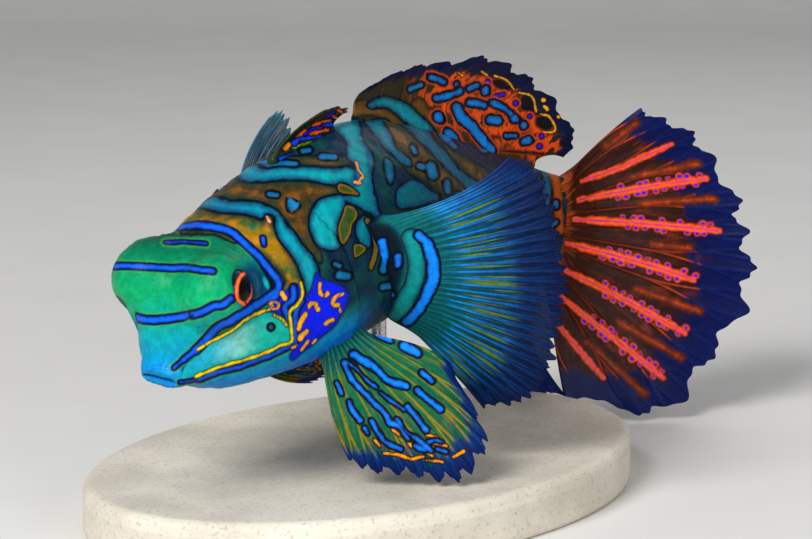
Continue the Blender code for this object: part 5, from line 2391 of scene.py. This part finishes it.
def write_sizes() -> None:
    """Bring the scene's layout up to date."""
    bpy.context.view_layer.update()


def main() -> None:
    """Build the model, its stand and the studio."""
    logging.basicConfig(level=logging.INFO, format="%(name)s: %(message)s")
    flesh = HEAD_MARKS + FLANK_MARKS
    Skin(SkinFinish(inks_of(flesh)), flesh).build()
    eye = Eyeball(EyeFinish(inks_of(EYE_MARKS)), EYE_MARKS)
    eye.build("eye_left", 1.0)
    eye.build("eye_right", -1.0)
    pectoral = FinFinish(
        "pectoral",
        (
            (0.0, "04605c"), (0.2, "044c50"), (0.36, "044850"), (0.54, "033448"), (0.68, "011c40"),
            (1.0, "010e38"),
        ),
        (
            (0.0, "046468"), (0.26, "04646c"), (0.34, "1084d0"), (0.52, "0860ac"), (0.7, "03346c"),
            (1.0, "021c54"),
        ),
        inks_of(PECTORAL_MARKS),
        dash="5c7c1c",
        clear_from=0.7,
        clear=0.85,
    )
    LEFT_PECTORAL.build(pectoral, PECTORAL_MARKS)
    sheer = FinFinish(
        "pectoral_far",
        ((0.0, "0a4c78"), (0.5, "12688c"), (1.0, "2a80a0")),
        ((0.0, "0c5c94"), (0.4, "1c7cb0"), (1.0, "58a8c4")),
        inks_of(PECTORAL_MARKS),
        clear_from=0.1,
        clear=0.55,
    )
    RIGHT_PECTORAL.build(sheer, PECTORAL_MARKS, LEFT_PECTORAL)
    pelvic = FinFinish(
        "pelvic",
        ((0.0, "044a4c"), (0.2, "046044"), (0.74, "045838"), (0.84, "022458"), (1.0, "01144c")),
        ((0.0, "047064"), (0.2, "5c7414"), (0.74, "8a7410"), (0.84, "043478"), (1.0, "021c60")),
        inks_of(BELLY_MARKS),
    )
    LEFT_PELVIC.build(pelvic, BELLY_MARKS)
    RIGHT_PELVIC.build(pelvic, BELLY_MARKS, LEFT_PELVIC)
    first = FinFinish(
        "first_dorsal",
        ((0.0, "10281c"), (0.5, "1c2414"), (1.0, "0a1c28")),
        ((0.0, "1c3420"), (0.6, "3c3414"), (1.0, "5a3c14")),
        inks_of(FIRST_DORSAL_MARKS),
    )
    FIRST_DORSAL.build(first, FIRST_DORSAL_MARKS)
    second = FinFinish(
        "second_dorsal",
        ((0.0, "3c2c10"), (0.3, "2c2c12"), (0.68, "242410"), (0.8, "030c34"), (1.0, "020a30")),
        ((0.0, "4a2c10"), (0.3, "643410"), (0.68, "4c2c10"), (0.8, "04124a"), (1.0, "030e3c")),
        inks_of(FLANK_MARKS),
        layers=DORSAL_LAYERS,
        net="f0500c",
        net_from=4.2,
    )
    SECOND_DORSAL.build(second, FLANK_MARKS)
    anal = FinFinish(
        "anal",
        ((0.0, "02304c"), (0.3, "022050"), (1.0, "011444")),
        ((0.0, "044464"), (1.0, "022468")),
        inks_of(ANAL_MARKS),
    )
    ANAL.build(anal, ANAL_MARKS)
    stripes = tail_marks()
    caudal = FinFinish(
        "caudal",
        ((0.0, "8a3c10"), (0.1, "30120a"), (0.68, "2a0e08"), (0.76, "020c40"), (1.0, "020e48")),
        (
            (0.0, "a8460f"), (0.1, "48180a"), (0.45, "702408"), (0.68, "a8380c"), (0.76, "04144c"),
            (1.0, "041654"),
        ),
        inks_of(stripes),
        layers=TAIL_LAYERS,
        blush="f04a44",
    )
    CAUDAL.build(caudal, stripes)
    stand = Stand()
    stand.build_base()
    stand.build_rod()
    Studio().build()
    VIEW.make_camera()
    bpy.context.scene.view_settings.view_transform = "Standard"
    write_sizes()


if __name__ == "__main__":
    main()
